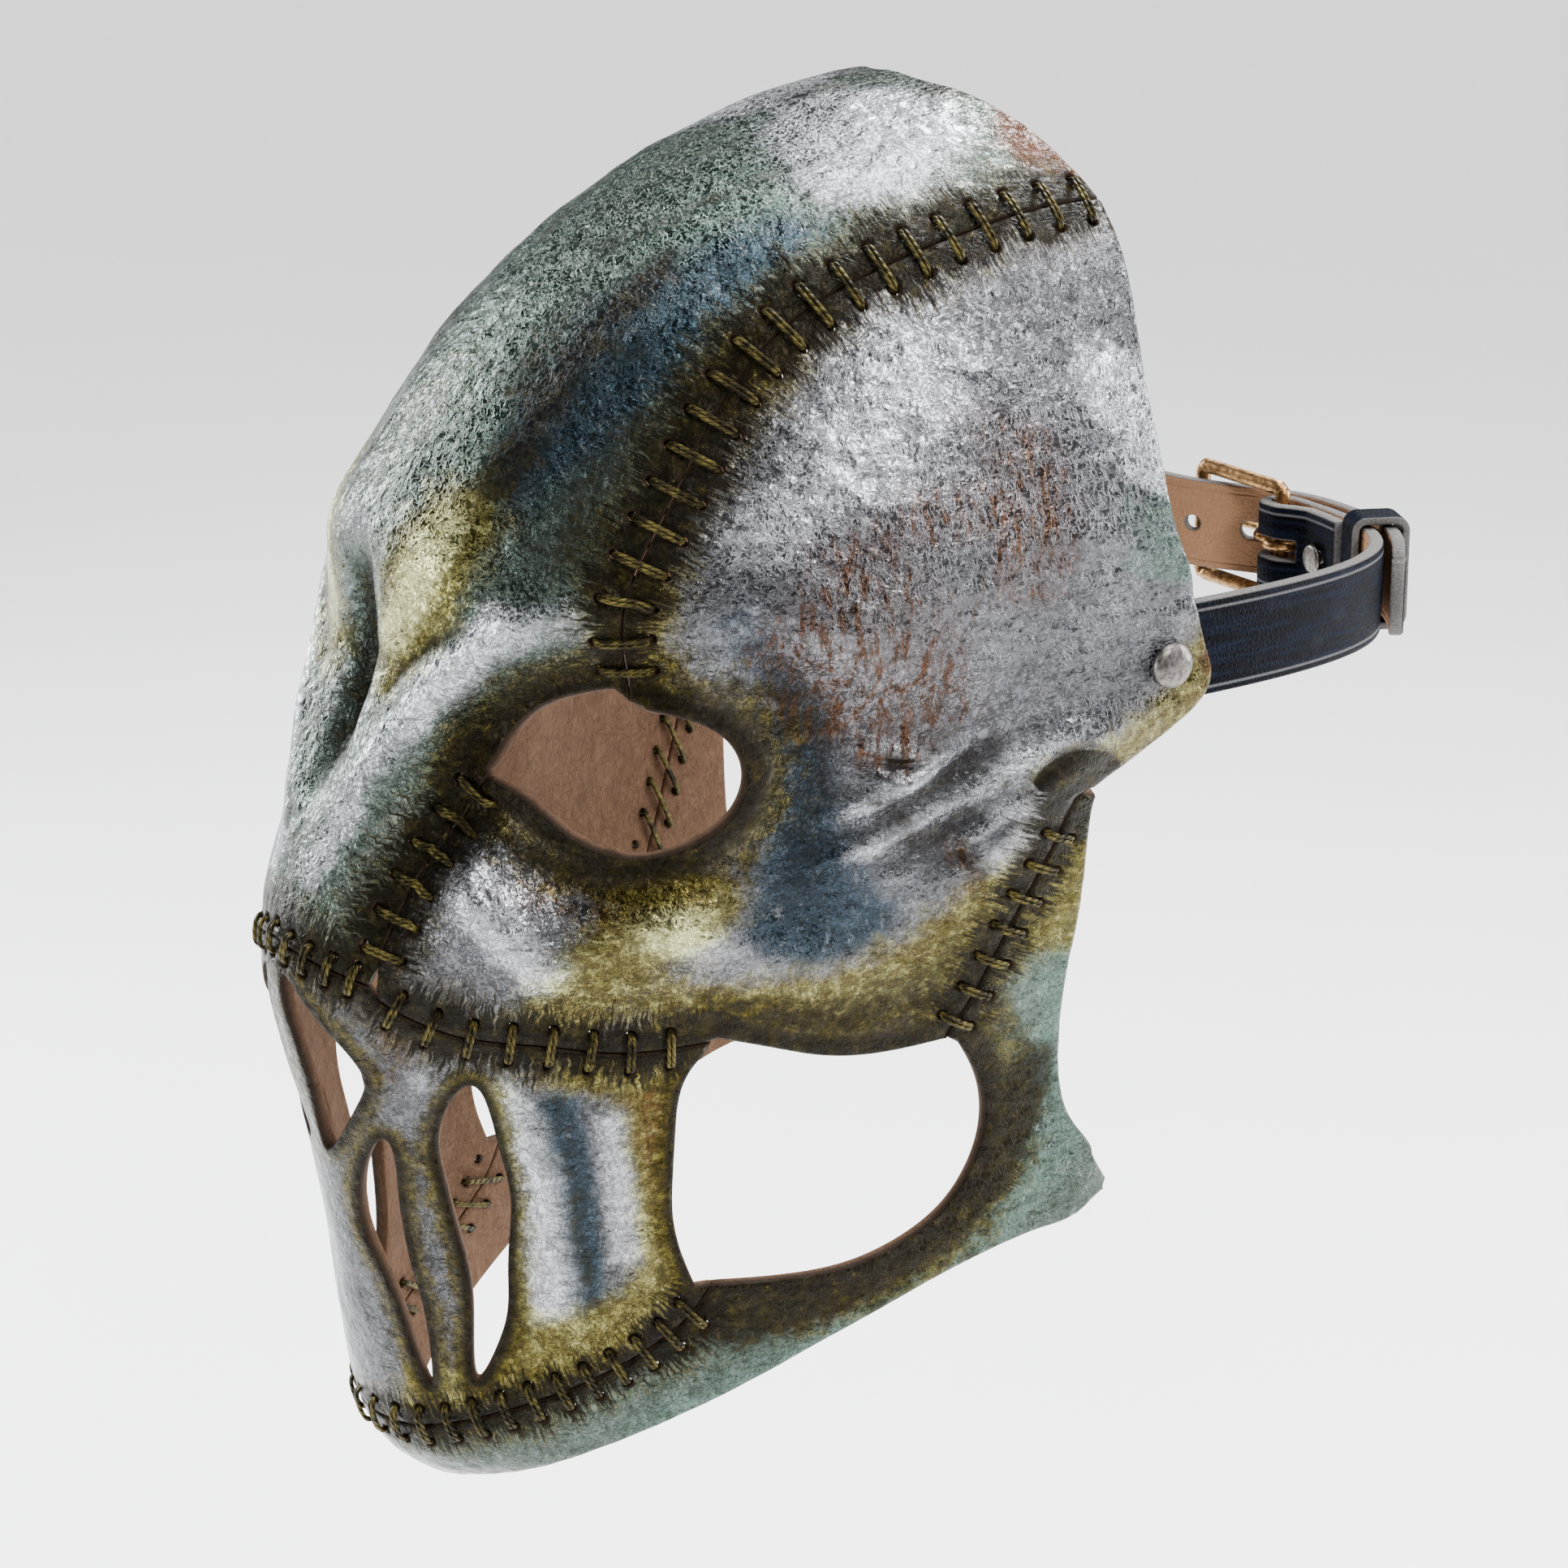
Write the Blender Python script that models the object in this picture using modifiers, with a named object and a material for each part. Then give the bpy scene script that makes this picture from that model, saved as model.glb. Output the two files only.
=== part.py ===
"""Laced leather face mask with a buckled head strap.

Five panels of formed leather are cut to a pattern, pressed over one master form, and laced edge to
edge with waxed thread.  A strap hangs on a rivet at each temple and buckles behind the head.

The face looks along -Y, up is +Z and the wearer's left is +X.  The origin is the point midway between
the two strap rivets.  Lengths are in millimetres until a mesh is made, which is in metres.
A place on the form is a pair: turn, in degrees from the middle of the face, and rise, in millimetres
up the middle line of the face from under the chin.
"""

import math

import bpy
import numpy as np
from mathutils import Vector
from mathutils.geometry import delaunay_2d_cdt

METRES = 0.001

# Leather
SKIN = 2.8               # thickness of the formed panels
SEAM_GAP = 1.6           # open gap between two laced edges
PANEL_GRID = 9.0         # spacing of the inner points of a panel
EDGE_STEP = 7.0          # spacing of the points along a cut edge
TURN_SCALE = 1.6         # millimetres a degree of turn is worth, on average

# Lacing
THREAD_RADIUS = 0.5
PUNCH_HALF = 1.35        # half the side of a punched hole
THREAD_OVER = 1.5        # from the leather's outer face to the middle of the thread
THREAD_UNDER = 2.6       # the same on the inner face

# Strap, in plan an ellipse around the back of the head
STRAP_WIDTH = 19.0
STRAP_SKIN = 3.0
STRAP_SIDE = 68.1        # half width of the ellipse
STRAP_BACK = 95.0        # depth of the ellipse behind the rivets
STRAP_DROOP = 8.0        # how far the strap hangs at the back
TAIL_LIFT = 4.7          # the loose tail lies this far outside the strap under it
TAIL_SAG = 3.0           # the tip of the tail hangs this far below its keeper
TAIL_TIP = 56.0          # degrees round the ellipse, from the wearer's left
KEEPER_AT = 73.0
HEEL_AT = 97.0           # the buckle's heel bar
END_AT = 115.5           # the buckle's end bar
FOLD_RIVET_AT = 84.5     # the rivet that closes the fold round the heel bar
FOLD_GAP = 0.7           # between the fold's two layers

# Hardware
BAR_RADIUS = 1.6
PRONG_RADIUS = 1.1
PLAY = 0.4
RIVET_HOLE = 1.9
RIVET_POST = 1.5
RIVET_CAP = 4.5
RIVET_SPOT = (82.8, 216.2)

# Stations up the middle line: face y, z; spine y, z; half width; power of the cheek's curve
STATIONS = [
    (-95, -172, -14, -130, 58, 1.20),   # under the chin
    (-120, -166, -13, -126, 59, 1.25),
    (-133, -157, -12, -121, 60, 1.35),  # chin
    (-138, -144, -10, -113, 61, 1.45),
    (-141, -124, -8, -101, 62, 1.50),
    (-144, -102, -6, -88, 62, 1.50),    # mouth
    (-149, -79, -3, -72, 64, 1.45),
    (-154, -57, 0, -56, 67, 1.35),      # under the nose
    (-150, -34, 5, -38, 70, 1.20),
    (-142, -14, 9, -22, 72, 1.10),      # bridge of the nose
    (-136, 4, 14, -7, 74, 1.05),
    (-133, 22, 19, 5, 75, 1.00),        # brow
    (-125, 41, 23, 13, 76, 1.00),
    (-107, 63, 27, 18, 77, 1.00),       # forehead
    (-78, 84, 30, 21, 78, 1.00),
    (-48, 97, 31, 23, 78, 1.00),
    (-20, 103, 32, 23, 78, 1.00),       # crown
    (12, 102, 33, 23, 78, 1.00),
]

# Relief pressed into the leather.  Each stroke is a line of (turn, rise, height, half width).
STROKES = {
    "forehead_boss": [(0, 234, 2.5, 12), (14, 232, 3, 12)],
    "frown": [(0, 224, -4, 6), (0, 211, -7, 7), (0, 197, -5, 6), (0, 186, -2, 5)],
    "brow": [(39, 226, 0.5, 7), (32, 225, 2.8, 7), (25, 220, 4, 7), (18, 208, 4, 7), (12, 193, 3.5, 6),
             (7, 178, 1, 6)],
    "nose_wall": [(18, 156, -2, 7), (20.5, 170, -6, 8), (22.5, 184, -8, 8)],
    "socket": [(23.5, 198, -8, 8), (30, 208, -6, 7), (39, 212, -3.5, 6)],
    "lower_lid": [(28, 182, -4, 7), (37, 173, -4, 6), (48, 176, -1.5, 6)],
    "inner_cheek": [(27, 168, 3, 6), (35, 153, 4, 7)],
    "outer_cheek": [(46, 159, 3.5, 8), (52, 153, 2, 9)],
    "orbit_groove": [(49, 220, -1.5, 6), (52.5, 210, -4, 7), (56, 196, -5, 7), (56, 178, -5, 7),
                     (56, 160, -2.5, 8)],
    "temple": [(57, 226, 3, 15), (62, 252, 2, 18)],
    "ear_hollow": [(64, 206, -2, 8), (69, 192, -3.5, 7), (66, 176, -2, 7)],
    "cheek_arch": [(84, 205, 1, 7), (77, 198, 3, 6.5), (73, 185, 3.2, 6.5), (71, 170, 1.5, 6)],
    "front_tooth": [(32, 128, 1, 6), (32.5, 105, 3.2, 6), (33, 80, 3, 6), (34, 62, 1, 6)],
    "back_tooth": [(39, 126, 1, 5), (39, 104, 1.8, 5), (39.5, 80, 1.6, 5), (39, 64, 0.5, 5)],
}

# Seams: points along the middle, stitches, reach of a hole from the middle, bare lengths at the ends
SEAMS = {
    "nose_tip": ([(0, 153.5), (10, 151), (17.6, 148)], 9, 3.0, (3.5, 3.5)),
    "nose_side": ([(18.4, 151.2), (20, 165), (22.3, 179), (25, 190.8)], 6, 4.0, (3.5, 4.0)),
    "mouth": ([(18.8, 145.3), (27.8, 137.4), (34.5, 135), (41, 132), (48, 132.5)], 8, 3.8, (3.5, 8.0)),
    "forehead": ([(38.2, 208), (36.8, 222), (37, 244), (35.4, 277), (34.6, 302), (36.8, 331), (39.2, 380)],
                 20, 5.2, (6.0, 4.0)),
    "jaw": ([(66.8, 124.5), (70, 138.5), (73.2, 156), (76, 174), (77.2, 185)], 7, 3.6, (4.0, 8.0)),
    "chin": ([(0, 50), (14, 49.5), (25, 51.5), (33, 54), (39, 57.5), (43.5, 63), (46, 71)],
             26, 4.0, (7.0, 7.0)),
}

# Cut edges that are not laced, as runs of smooth points on the wearer's left half
EYE_TOP = [(24.5, 192.3), (25.9, 198.4), (28.6, 204.4), (32.4, 207.8), (36.5, 209.8)]
EYE_UNDER = [(25.8, 190.4), (29.9, 187.6), (34, 182.8), (38, 177.2), (42, 174.9), (46, 177.2), (49, 183.5),
             (49.9, 191), (48.7, 198), (46, 203), (42.5, 205.6), (39.8, 206.6)]
CHEEK_TOP = [(67, 124), (62.7, 123.2), (56.1, 125.2), (52, 129.5), (48.5, 133.2)]
CHEEK_FRONT = [(47.4, 130), (45.6, 124.5), (43.8, 110), (43.1, 97), (43.2, 84), (44.6, 71.5)]
CHEEK_BACK = [(47, 70.5), (53, 67), (59.4, 65.3), (65.5, 69.9), (69.3, 81.3), (70.9, 97.5), (70.2, 109),
              (68, 122)]
REAR_TOP = [(0, 377), (10, 378.5), (17.5, 381.5), (28, 381.8), (38.6, 380.3)]
REAR_SIDE = [(40, 380), (46, 374.6), (53, 365), (61.7, 345.7), (70, 317.5), (77.3, 277.6), (82.6, 243),
             (85.6, 222), (87, 208), (85, 200.6), (82, 193.5), (78.8, 187)]
REAR_JAW = [(79.2, 184.5), (79.2, 168), (79.2, 152), (78.6, 128), (80, 104), (84.3, 86), (93, 70.5),
            (97, 61)]
JAW_UNDER = [(97, 57), (90, 53), (77, 54.5), (64.7, 50.3), (46, 40.3), (24, 33), (0, 30)]
NOSTRIL = [(3.6, 147), (9.5, 139), (14.4, 127), (11.5, 120), (3.5, 109.6), (3.4, 128)]
FRONT_SLOT = [(15.1, 113.5), (15, 99), (15.6, 82), (16.3, 68), (15.7, 59.2), (13, 74), (10, 87), (8.4, 98.5)]
BACK_SLOT = [(26.9, 126.4), (28, 113), (28.2, 100), (27, 84), (25.5, 68.5), (22.4, 59.5), (22.6, 76),
             (22, 95), (21.5, 106), (22, 115)]

METAL = {"pewter": ((0.30, 0.29, 0.28), 0.35), "antique_brass": ((0.42, 0.24, 0.12), 0.4)}


# ---------------------------------------------------------------- curves through chosen points

def spline(knots, values):
    """A natural cubic through the values at the knots, as a function."""
    x, y = np.asarray(knots, float), np.asarray(values, float)
    gap, count = np.diff(x), len(x)
    rows, right = np.eye(count), np.zeros(count)
    for i in range(1, count - 1):
        rows[i, i - 1:i + 2] = gap[i - 1], 2 * (gap[i - 1] + gap[i]), gap[i]
        right[i] = 6 * ((y[i + 1] - y[i]) / gap[i] - (y[i] - y[i - 1]) / gap[i - 1])
    bend = np.linalg.solve(rows, right)

    def value(at):
        at = np.asarray(at, float)
        i = np.clip(np.searchsorted(x, at) - 1, 0, count - 2)
        a = (x[i + 1] - at) / gap[i]
        b = 1 - a
        curve = (a ** 3 - a) * bend[i] + (b ** 3 - b) * bend[i + 1]
        return a * y[i] + b * y[i + 1] + curve * gap[i] ** 2 / 6

    return value


def smooth(points, step):
    """Points about a step apart on a smooth line through the given ones, in turn and rise."""
    points = np.asarray(points, float)
    run = np.hypot(np.diff(points[:, 0]) * TURN_SCALE, np.diff(points[:, 1]))
    at = np.concatenate([[0], np.cumsum(run)])
    places = np.linspace(0, at[-1], max(2, round(at[-1] / step) + 1))
    return np.stack([spline(at, points[:, 0])(places), spline(at, points[:, 1])(places)], -1)


# ---------------------------------------------------------------- the master form

STATION_TABLE = np.array(STATIONS, float)
RISES = np.concatenate([[0], np.cumsum(np.hypot(*np.diff(STATION_TABLE[:, :2], axis=0).T))])
STATION_CURVES = [spline(RISES, column) for column in STATION_TABLE.T]


def bare_form(turn, rise):
    face_y, face_z, spine_y, spine_z, half_width, power = (curve(rise) for curve in STATION_CURVES)
    angle = np.radians(turn)
    forward = np.sign(np.cos(angle)) * np.abs(np.cos(angle)) ** power
    side = half_width * np.sin(angle)
    back = spine_y + (face_y - spine_y) * forward
    return np.stack([side, back, spine_z + (face_z - spine_z) * forward], -1)


def stroke_line(stroke):
    """A stroke's points, filled in so that neighbours are close together."""
    stroke = np.asarray(stroke, float)
    knots = np.arange(len(stroke))
    places = np.linspace(0, knots[-1], 12 * knots[-1] + 1)
    path = [spline(knots, stroke[:, k])(places) for k in (0, 1)]
    size = [np.interp(places, knots, stroke[:, k]) for k in (2, 3)]
    return np.stack(path + size, -1)


STROKE_LINES = [stroke_line(stroke) for stroke in STROKES.values()]


def relief(turn, rise):
    total = np.zeros(np.shape(turn))
    for line in STROKE_LINES:
        across = (np.abs(turn)[..., None] - line[:, 0]) * TURN_SCALE
        square = across ** 2 + (rise[..., None] - line[:, 1]) ** 2
        near = square.argmin(-1)
        square = np.take_along_axis(square, near[..., None], -1)[..., 0]
        total = total + line[near, 2] * np.exp(-square / line[near, 3] ** 2)
    return total


def outward(turn, rise, step=0.25):
    """Unit normal of the bare form."""
    along = bare_form(turn + step, rise) - bare_form(turn - step, rise)
    up = bare_form(turn, rise + step) - bare_form(turn, rise - step)
    normal = np.cross(along, up)
    return normal / np.linalg.norm(normal, axis=-1, keepdims=True)


def pressed_form(spots):
    turn, rise = np.asarray(spots, float).T
    return bare_form(turn, rise) + outward(turn, rise) * relief(turn, rise)[:, None]


RIVET_PLACE = pressed_form([RIVET_SPOT])[0]


def form(spots):
    """Points of the pressed form, moved so that the rivets' axis is at y = z = 0."""
    return pressed_form(spots) - np.array([0, RIVET_PLACE[1], RIVET_PLACE[2]])


def slopes(spots, step=0.25):
    """How the form moves for a degree of turn and for a millimetre of rise, and its unit normal."""
    spots = np.asarray(spots, float)
    turning = (form(spots + (step, 0)) - form(spots - (step, 0))) / (2 * step)
    rising = (form(spots + (0, step)) - form(spots - (0, step))) / (2 * step)
    normal = np.cross(turning, rising)
    return turning, rising, normal / np.linalg.norm(normal, axis=1, keepdims=True)


def moved(spots, pushes):
    """Spots moved over the form by a push in millimetres each, given as vectors in space."""
    turning, rising, _ = slopes(spots)
    steps = [np.linalg.lstsq(np.stack(pair, -1), push, rcond=None)[0]
             for *pair, push in zip(turning, rising, pushes)]
    return np.asarray(spots, float) + steps


def sideways(line):
    """Unit vectors to the left of a line on the form, seen from outside."""
    turning, rising, normal = slopes(line)
    run = np.gradient(np.asarray(line, float), axis=0)
    ahead = turning * run[:, :1] + rising * run[:, 1:]
    left = np.cross(normal, ahead)
    return left / np.linalg.norm(left, axis=1, keepdims=True)


def beside(line, distance):
    return moved(line, sideways(line) * distance)


def mirrored(line):
    return np.asarray(line)[::-1] * (-1, 1)


def whole(half):
    """A line from the middle outwards, continued over the other half of the face."""
    return np.vstack([mirrored(half)[:-1], half])


# ---------------------------------------------------------------- seams and punched holes

SEAM_LINES = {name: smooth(points, 1.0) for name, (points, *_) in SEAMS.items()}


def seam_edge(name, distance):
    """One laced edge: the seam's line moved aside, with points an edge step apart."""
    line = beside(smooth(SEAMS[name][0], EDGE_STEP), distance)
    if SEAMS[name][0][0][0] == 0:
        line[0, 0] = 0
    return line


def stitch_holes(name):
    """Left and right holes of every stitch of a seam on the wearer's left half, or of a whole seam."""
    points, count, reach, bare = SEAMS[name]
    line = SEAM_LINES[name]
    if points[0][0] == 0:
        line = whole(line)
    places = form(line)
    at = np.concatenate([[0], np.cumsum(np.linalg.norm(np.diff(places, axis=0), axis=1))])
    wanted = np.linspace(bare[0], at[-1] - bare[1], count)
    middle = np.stack([np.interp(wanted, at, line[:, k]) for k in (0, 1)], -1)
    left = sideways(middle)
    return moved(middle, left * reach), moved(middle, -left * reach)


def ring_around(spot, radius, sides):
    """A punched hole: a regular outline of the given radius on the form."""
    turning, rising, normal = slopes([spot])
    first = turning[0] / np.linalg.norm(turning[0])
    second = np.cross(normal[0], first)
    angles = 2 * math.pi * (np.arange(sides) + 0.5) / sides
    pushes = [radius * (math.cos(a) * first + math.sin(a) * second) for a in angles]
    return moved([spot] * sides, pushes)


def punched(name, side):
    """The holes of one laced edge; side 0 is the seam's left and side 1 its right."""
    return [ring_around(spot, PUNCH_HALF * math.sqrt(2), 4) for spot in stitch_holes(name)[side]]


# ---------------------------------------------------------------- making objects

def material(name, colour, roughness, metallic):
    shader = bpy.data.materials.new(name)
    shader.use_nodes = True
    inputs = shader.node_tree.nodes["Principled BSDF"].inputs
    inputs["Base Color"].default_value = (*colour, 1)
    inputs["Roughness"].default_value = roughness
    inputs["Metallic"].default_value = metallic
    return shader


def add_mesh(name, points, faces, shader, collection):
    mesh = bpy.data.meshes.new(name)
    mesh.from_pydata([tuple(p * METRES) for p in np.asarray(points, float)], [], faces)
    mesh.materials.append(shader)
    mesh.shade_smooth()
    piece = bpy.data.objects.new(name, mesh)
    collection.objects.link(piece)
    return piece


def solidify(piece, thickness, offset, even=False):
    wall = piece.modifiers.new("thickness", "SOLIDIFY")
    wall.thickness = thickness * METRES
    wall.offset = offset
    wall.use_even_offset = even


def inner_points(rings, grid):
    """Grid points clear of every ring's points, in a staggered pattern."""
    edge = np.vstack(rings)
    low, high = edge.min(0), edge.max(0)
    rows = []
    for row, y in enumerate(np.arange(low[1] + grid / 2, high[1], grid * 0.87)):
        x = np.arange(low[0] + grid * (0.25 + 0.5 * (row % 2)), high[0], grid)
        rows.append(np.stack([x, np.full_like(x, y)], -1))
    points = np.vstack(rows)
    distance = np.sqrt(((points[:, None] - edge) ** 2).sum(-1)).min(1)
    return points[distance > grid * 0.5]


def cut_flat(rings, inner):
    """Triangles of a flat outline with holes and inner points: the first ring is the outline."""
    points, loops = [], []
    for ring in rings:
        loops.append(list(range(len(points), len(points) + len(ring))))
        points += [Vector(p) for p in ring]
    points += [Vector(p) for p in inner]
    inside_with_holes = 2
    flat, _, faces, *_ = delaunay_2d_cdt(points, [], loops, inside_with_holes, 1e-5)
    used = sorted({i for face in faces for i in face})
    place = {old: new for new, old in enumerate(used)}
    return np.array([flat[i] for i in used]), [[place[i] for i in face] for face in faces]


def panel(name, rings, shader, collection):
    """A formed panel: its pattern is cut flat and laid over the form, then given its thickness."""
    scale = np.array([TURN_SCALE, 1])
    rings = [np.asarray(ring) * scale for ring in rings]
    flat, faces = cut_flat(rings, inner_points(rings, PANEL_GRID))
    piece = add_mesh(name, form(flat / scale), faces, shader, collection)
    solidify(piece, SKIN, -1)
    return piece


def tube(name, points, radius, shader, collection, cyclic=False, detail=2):
    curve = bpy.data.curves.new(name, "CURVE")
    curve.dimensions = "3D"
    curve.bevel_depth = radius * METRES
    curve.bevel_resolution = detail
    curve.use_fill_caps = not cyclic
    line = curve.splines.new("POLY")
    line.points.add(len(points) - 1)
    for place, point in zip(line.points, points):
        place.co = (*(np.asarray(point, float) * METRES), 1)
    line.use_cyclic_u = cyclic
    curve.materials.append(shader)
    piece = bpy.data.objects.new(name, curve)
    collection.objects.link(piece)
    return piece


def turned(name, profile, place, axis, shader, collection):
    """A closed turned shape: a profile of (radius, height) swept round, then aimed along an axis."""
    sides = 16
    points, faces = [], []
    for radius, height in profile:
        for k in range(sides):
            angle = 2 * math.pi * k / sides
            points.append((radius * math.cos(angle), radius * math.sin(angle), height))
    for row in range(len(profile) - 1):
        for k in range(sides):
            a, b = row * sides + k, row * sides + (k + 1) % sides
            faces.append((a, b, b + sides, a + sides))
    faces.append(tuple(reversed(range(sides))))
    faces.append(tuple(range((len(profile) - 1) * sides, len(profile) * sides)))
    aim = Vector((0, 0, 1)).rotation_difference(Vector(axis))
    aimed = [np.array(aim @ Vector(p)) + place for p in points]
    return add_mesh(name, aimed, faces, shader, collection)


def hang(piece, place, collection):
    """Give a moving piece a parent empty on its joint's axis."""
    axis = bpy.data.objects.new(piece.name + "_axis", None)
    axis.location = place * METRES
    collection.objects.link(axis)
    piece.parent = axis
    piece.location = -place * METRES


# ---------------------------------------------------------------- the mask

def mask_rings():
    """Outline and holes of each panel on the wearer's left half, as (outline, holes)."""
    half = SEAM_GAP / 2
    crown = np.vstack([seam_edge("nose_tip", half), seam_edge("nose_side", half),
                       smooth(EYE_TOP, EDGE_STEP / 2), seam_edge("forehead", half),
                       smooth(REAR_TOP, EDGE_STEP)[::-1]])
    side = np.vstack([seam_edge("forehead", -half), smooth(REAR_SIDE, EDGE_STEP),
                      seam_edge("jaw", half)[::-1], smooth(CHEEK_TOP, EDGE_STEP),
                      seam_edge("mouth", half)[::-1], seam_edge("nose_side", -half),
                      smooth(EYE_UNDER, EDGE_STEP / 2)])
    mouth = np.vstack([seam_edge("nose_tip", -half), seam_edge("mouth", -half),
                       smooth(CHEEK_FRONT, EDGE_STEP), seam_edge("chin", half)[::-1]])
    jaw = np.vstack([seam_edge("chin", -half), smooth(CHEEK_BACK, EDGE_STEP), seam_edge("jaw", -half),
                     smooth(REAR_JAW, EDGE_STEP), smooth(JAW_UNDER, EDGE_STEP)])
    slots = [np.array(NOSTRIL), np.array(FRONT_SLOT), np.array(BACK_SLOT)]
    return crown, side, mouth, jaw, slots


def both(half):
    """A closed outline from its half, which starts and ends on the middle line."""
    return np.vstack([half, mirrored(half)[1:-1]])


def both_holes(holes):
    return holes + [mirrored(hole) for hole in holes]


def make_panels(leather, collection):
    crown, side, mouth, jaw, slots = mask_rings()
    tip, chin = (punched(name, 0) for name in ("nose_tip", "chin"))
    panel("crown_panel", [both(crown)] + tip + both_holes(punched("nose_side", 0) + punched("forehead", 0)),
          leather, collection)
    rivet_hole = ring_around(RIVET_SPOT, RIVET_HOLE, 10)
    side_holes = punched("forehead", 1) + punched("nose_side", 1) + punched("mouth", 0) + punched("jaw", 0)
    side_rings = [side, rivet_hole] + side_holes
    panel("side_panel_left", side_rings, leather, collection)
    panel("side_panel_right", [mirrored(ring) for ring in side_rings], leather, collection)
    mouth_holes = punched("nose_tip", 1) + chin + both_holes(slots + punched("mouth", 1))
    panel("mouth_panel", [both(mouth)] + mouth_holes, leather, collection)
    panel("jaw_panel", [both(jaw)] + punched("chin", 1) + both_holes(punched("jaw", 1)), leather, collection)


def thread_route(left, right):
    """The thread's way: up through a hole, over the seam, down, and under the leather to the next hole."""
    def layer(spots, lift):
        return form(spots) + slopes(spots)[2] * lift

    under = -(SKIN + THREAD_UNDER)
    over = [layer(spots, THREAD_OVER) for spots in (left, (left + right) / 2, right)]
    below = [layer(spots, under) for spots in (left, right)]
    between = layer(np.vstack([(right[:-1] + left[1:]) / 2, right[-1:]]), under - 1)
    return [point for stitch in zip(below[0], *over, below[1], between) for point in stitch]


def make_lacing(thread, collection):
    for name, (points, *_) in SEAMS.items():
        left, right = stitch_holes(name)
        if points[0][0] == 0:
            tube("lacing_" + name, thread_route(left, right), THREAD_RADIUS, thread, collection, detail=0)
            continue
        for side, flip in (("left", 1), ("right", -1)):
            route = thread_route(left * (flip, 1), right * (flip, 1))
            tube(f"lacing_{name}_{side}", route, THREAD_RADIUS, thread, collection, detail=0)


# ---------------------------------------------------------------- the strap

def ellipse(degrees, lift):
    """A point of the strap's plan, moved out by a lift, at its height."""
    angle = math.radians(degrees)
    x, y = math.cos(angle), math.sin(angle)
    out = np.array([x / STRAP_SIDE, y / STRAP_BACK])
    out /= np.linalg.norm(out)
    drop = -STRAP_DROOP * y ** 2 if degrees > 0 else 0.0
    return np.array([STRAP_SIDE * x + lift * out[0], STRAP_BACK * y + lift * out[1], drop])


FOLD_RADIUS = BAR_RADIUS + PLAY + STRAP_SKIN / 2
HEEL = ellipse(HEEL_AT, -FOLD_RADIUS)
END_DROP = BAR_RADIUS + 3 * PLAY + STRAP_SKIN / 2
END_BAR = ellipse(END_AT, END_DROP - FOLD_RADIUS)


def left_route():
    """Strap from the left rivet to the heel bar, round it, and back under itself."""
    start = np.array([[STRAP_SIDE, y, 0] for y in (-STRAP_WIDTH / 2, -STRAP_WIDTH / 4)])
    round_head = [ellipse(d, 0) for d in np.linspace(0, HEEL_AT, 21)]
    out = round_head[-1] - HEEL
    ahead = np.cross((0, 0, 1), out)
    bend = [HEEL + math.cos(a) * out + math.sin(a) * ahead for a in np.radians(np.arange(20, 181, 20))]
    layer = STRAP_SKIN + FOLD_GAP
    back = []
    for degrees in np.linspace(2, 20, 10):
        closing = 2 * FOLD_RADIUS - max(0, degrees - 2) * 0.6
        back.append(ellipse(HEEL_AT - degrees, -max(layer, closing)))
    return np.vstack([start, round_head, bend, back])


def tail_lift(degrees):
    """The right strap lies on the ellipse, ducks under the end bar, then lies on the left strap."""
    stops = [TAIL_TIP, HEEL_AT - 6, HEEL_AT, END_AT, END_AT + 14, 180]
    lifts = [TAIL_LIFT, TAIL_LIFT, TAIL_LIFT, -FOLD_RADIUS, 0, 0]
    return float(np.interp(degrees, stops, lifts))


def right_route():
    start = np.array([[-STRAP_SIDE, y, 0] for y in (-STRAP_WIDTH / 2, -STRAP_WIDTH / 4)])
    places = []
    for degrees in [*range(180, 132, -5), *range(132, 88, -2), *np.linspace(88, TAIL_TIP, 8)]:
        lift = np.mean([tail_lift(degrees + d) for d in (-4, -2, 0, 2, 4)])
        sag = TAIL_SAG * max(0, (KEEPER_AT - 6 - degrees) / (KEEPER_AT - 6 - TAIL_TIP))
        places.append(ellipse(degrees, lift) - (0, 0, sag))
    return np.vstack([start, places])


def distances(route):
    return np.concatenate([[0], np.cumsum(np.linalg.norm(np.diff(route, axis=0), axis=1))])


def distance_to(route, point):
    """How far along a route the place nearest to a point is."""
    at = distances(route)
    fine = np.arange(0, at[-1], 0.1)
    places = np.stack([np.interp(fine, at, route[:, k]) for k in range(3)], -1)
    return fine[np.linalg.norm(places - point, axis=1).argmin()]


def strap_outline(at, tip):
    """Round end at the rivet; the far end is square, or round for a tip.  Edge points follow the route."""
    half, length = STRAP_WIDTH / 2, at[-1]
    turn = np.linspace(0, math.pi, 11)
    nose = [(half - half * math.sin(a), -half * math.cos(a)) for a in turn]
    far = [(length, half), (length, -half)]
    if tip:
        far = [(length - half + half * math.sin(a), half * math.cos(a)) for a in turn]
    edges = at[(at > half + 1) & (at < far[0][0] - 1)]
    return np.array(nose + [(x, half) for x in edges] + far + [(x, -half) for x in edges[::-1]])


def round_hole(x, y, radius, stretch=0.0, sides=8):
    angles = 2 * math.pi * (np.arange(sides) + 0.5) / sides
    return np.array([(x + radius * math.cos(a) + math.copysign(stretch, math.cos(a)),
                      y + radius * math.sin(a)) for a in angles])


def slot(at, start, end, half):
    """A slot along the strap, with points where the route has them."""
    places = np.concatenate([[start], at[(at > start + 0.3) & (at < end - 0.3)], [end]])
    return np.array([(x, -half) for x in places] + [(x, half) for x in places[::-1]])


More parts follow.
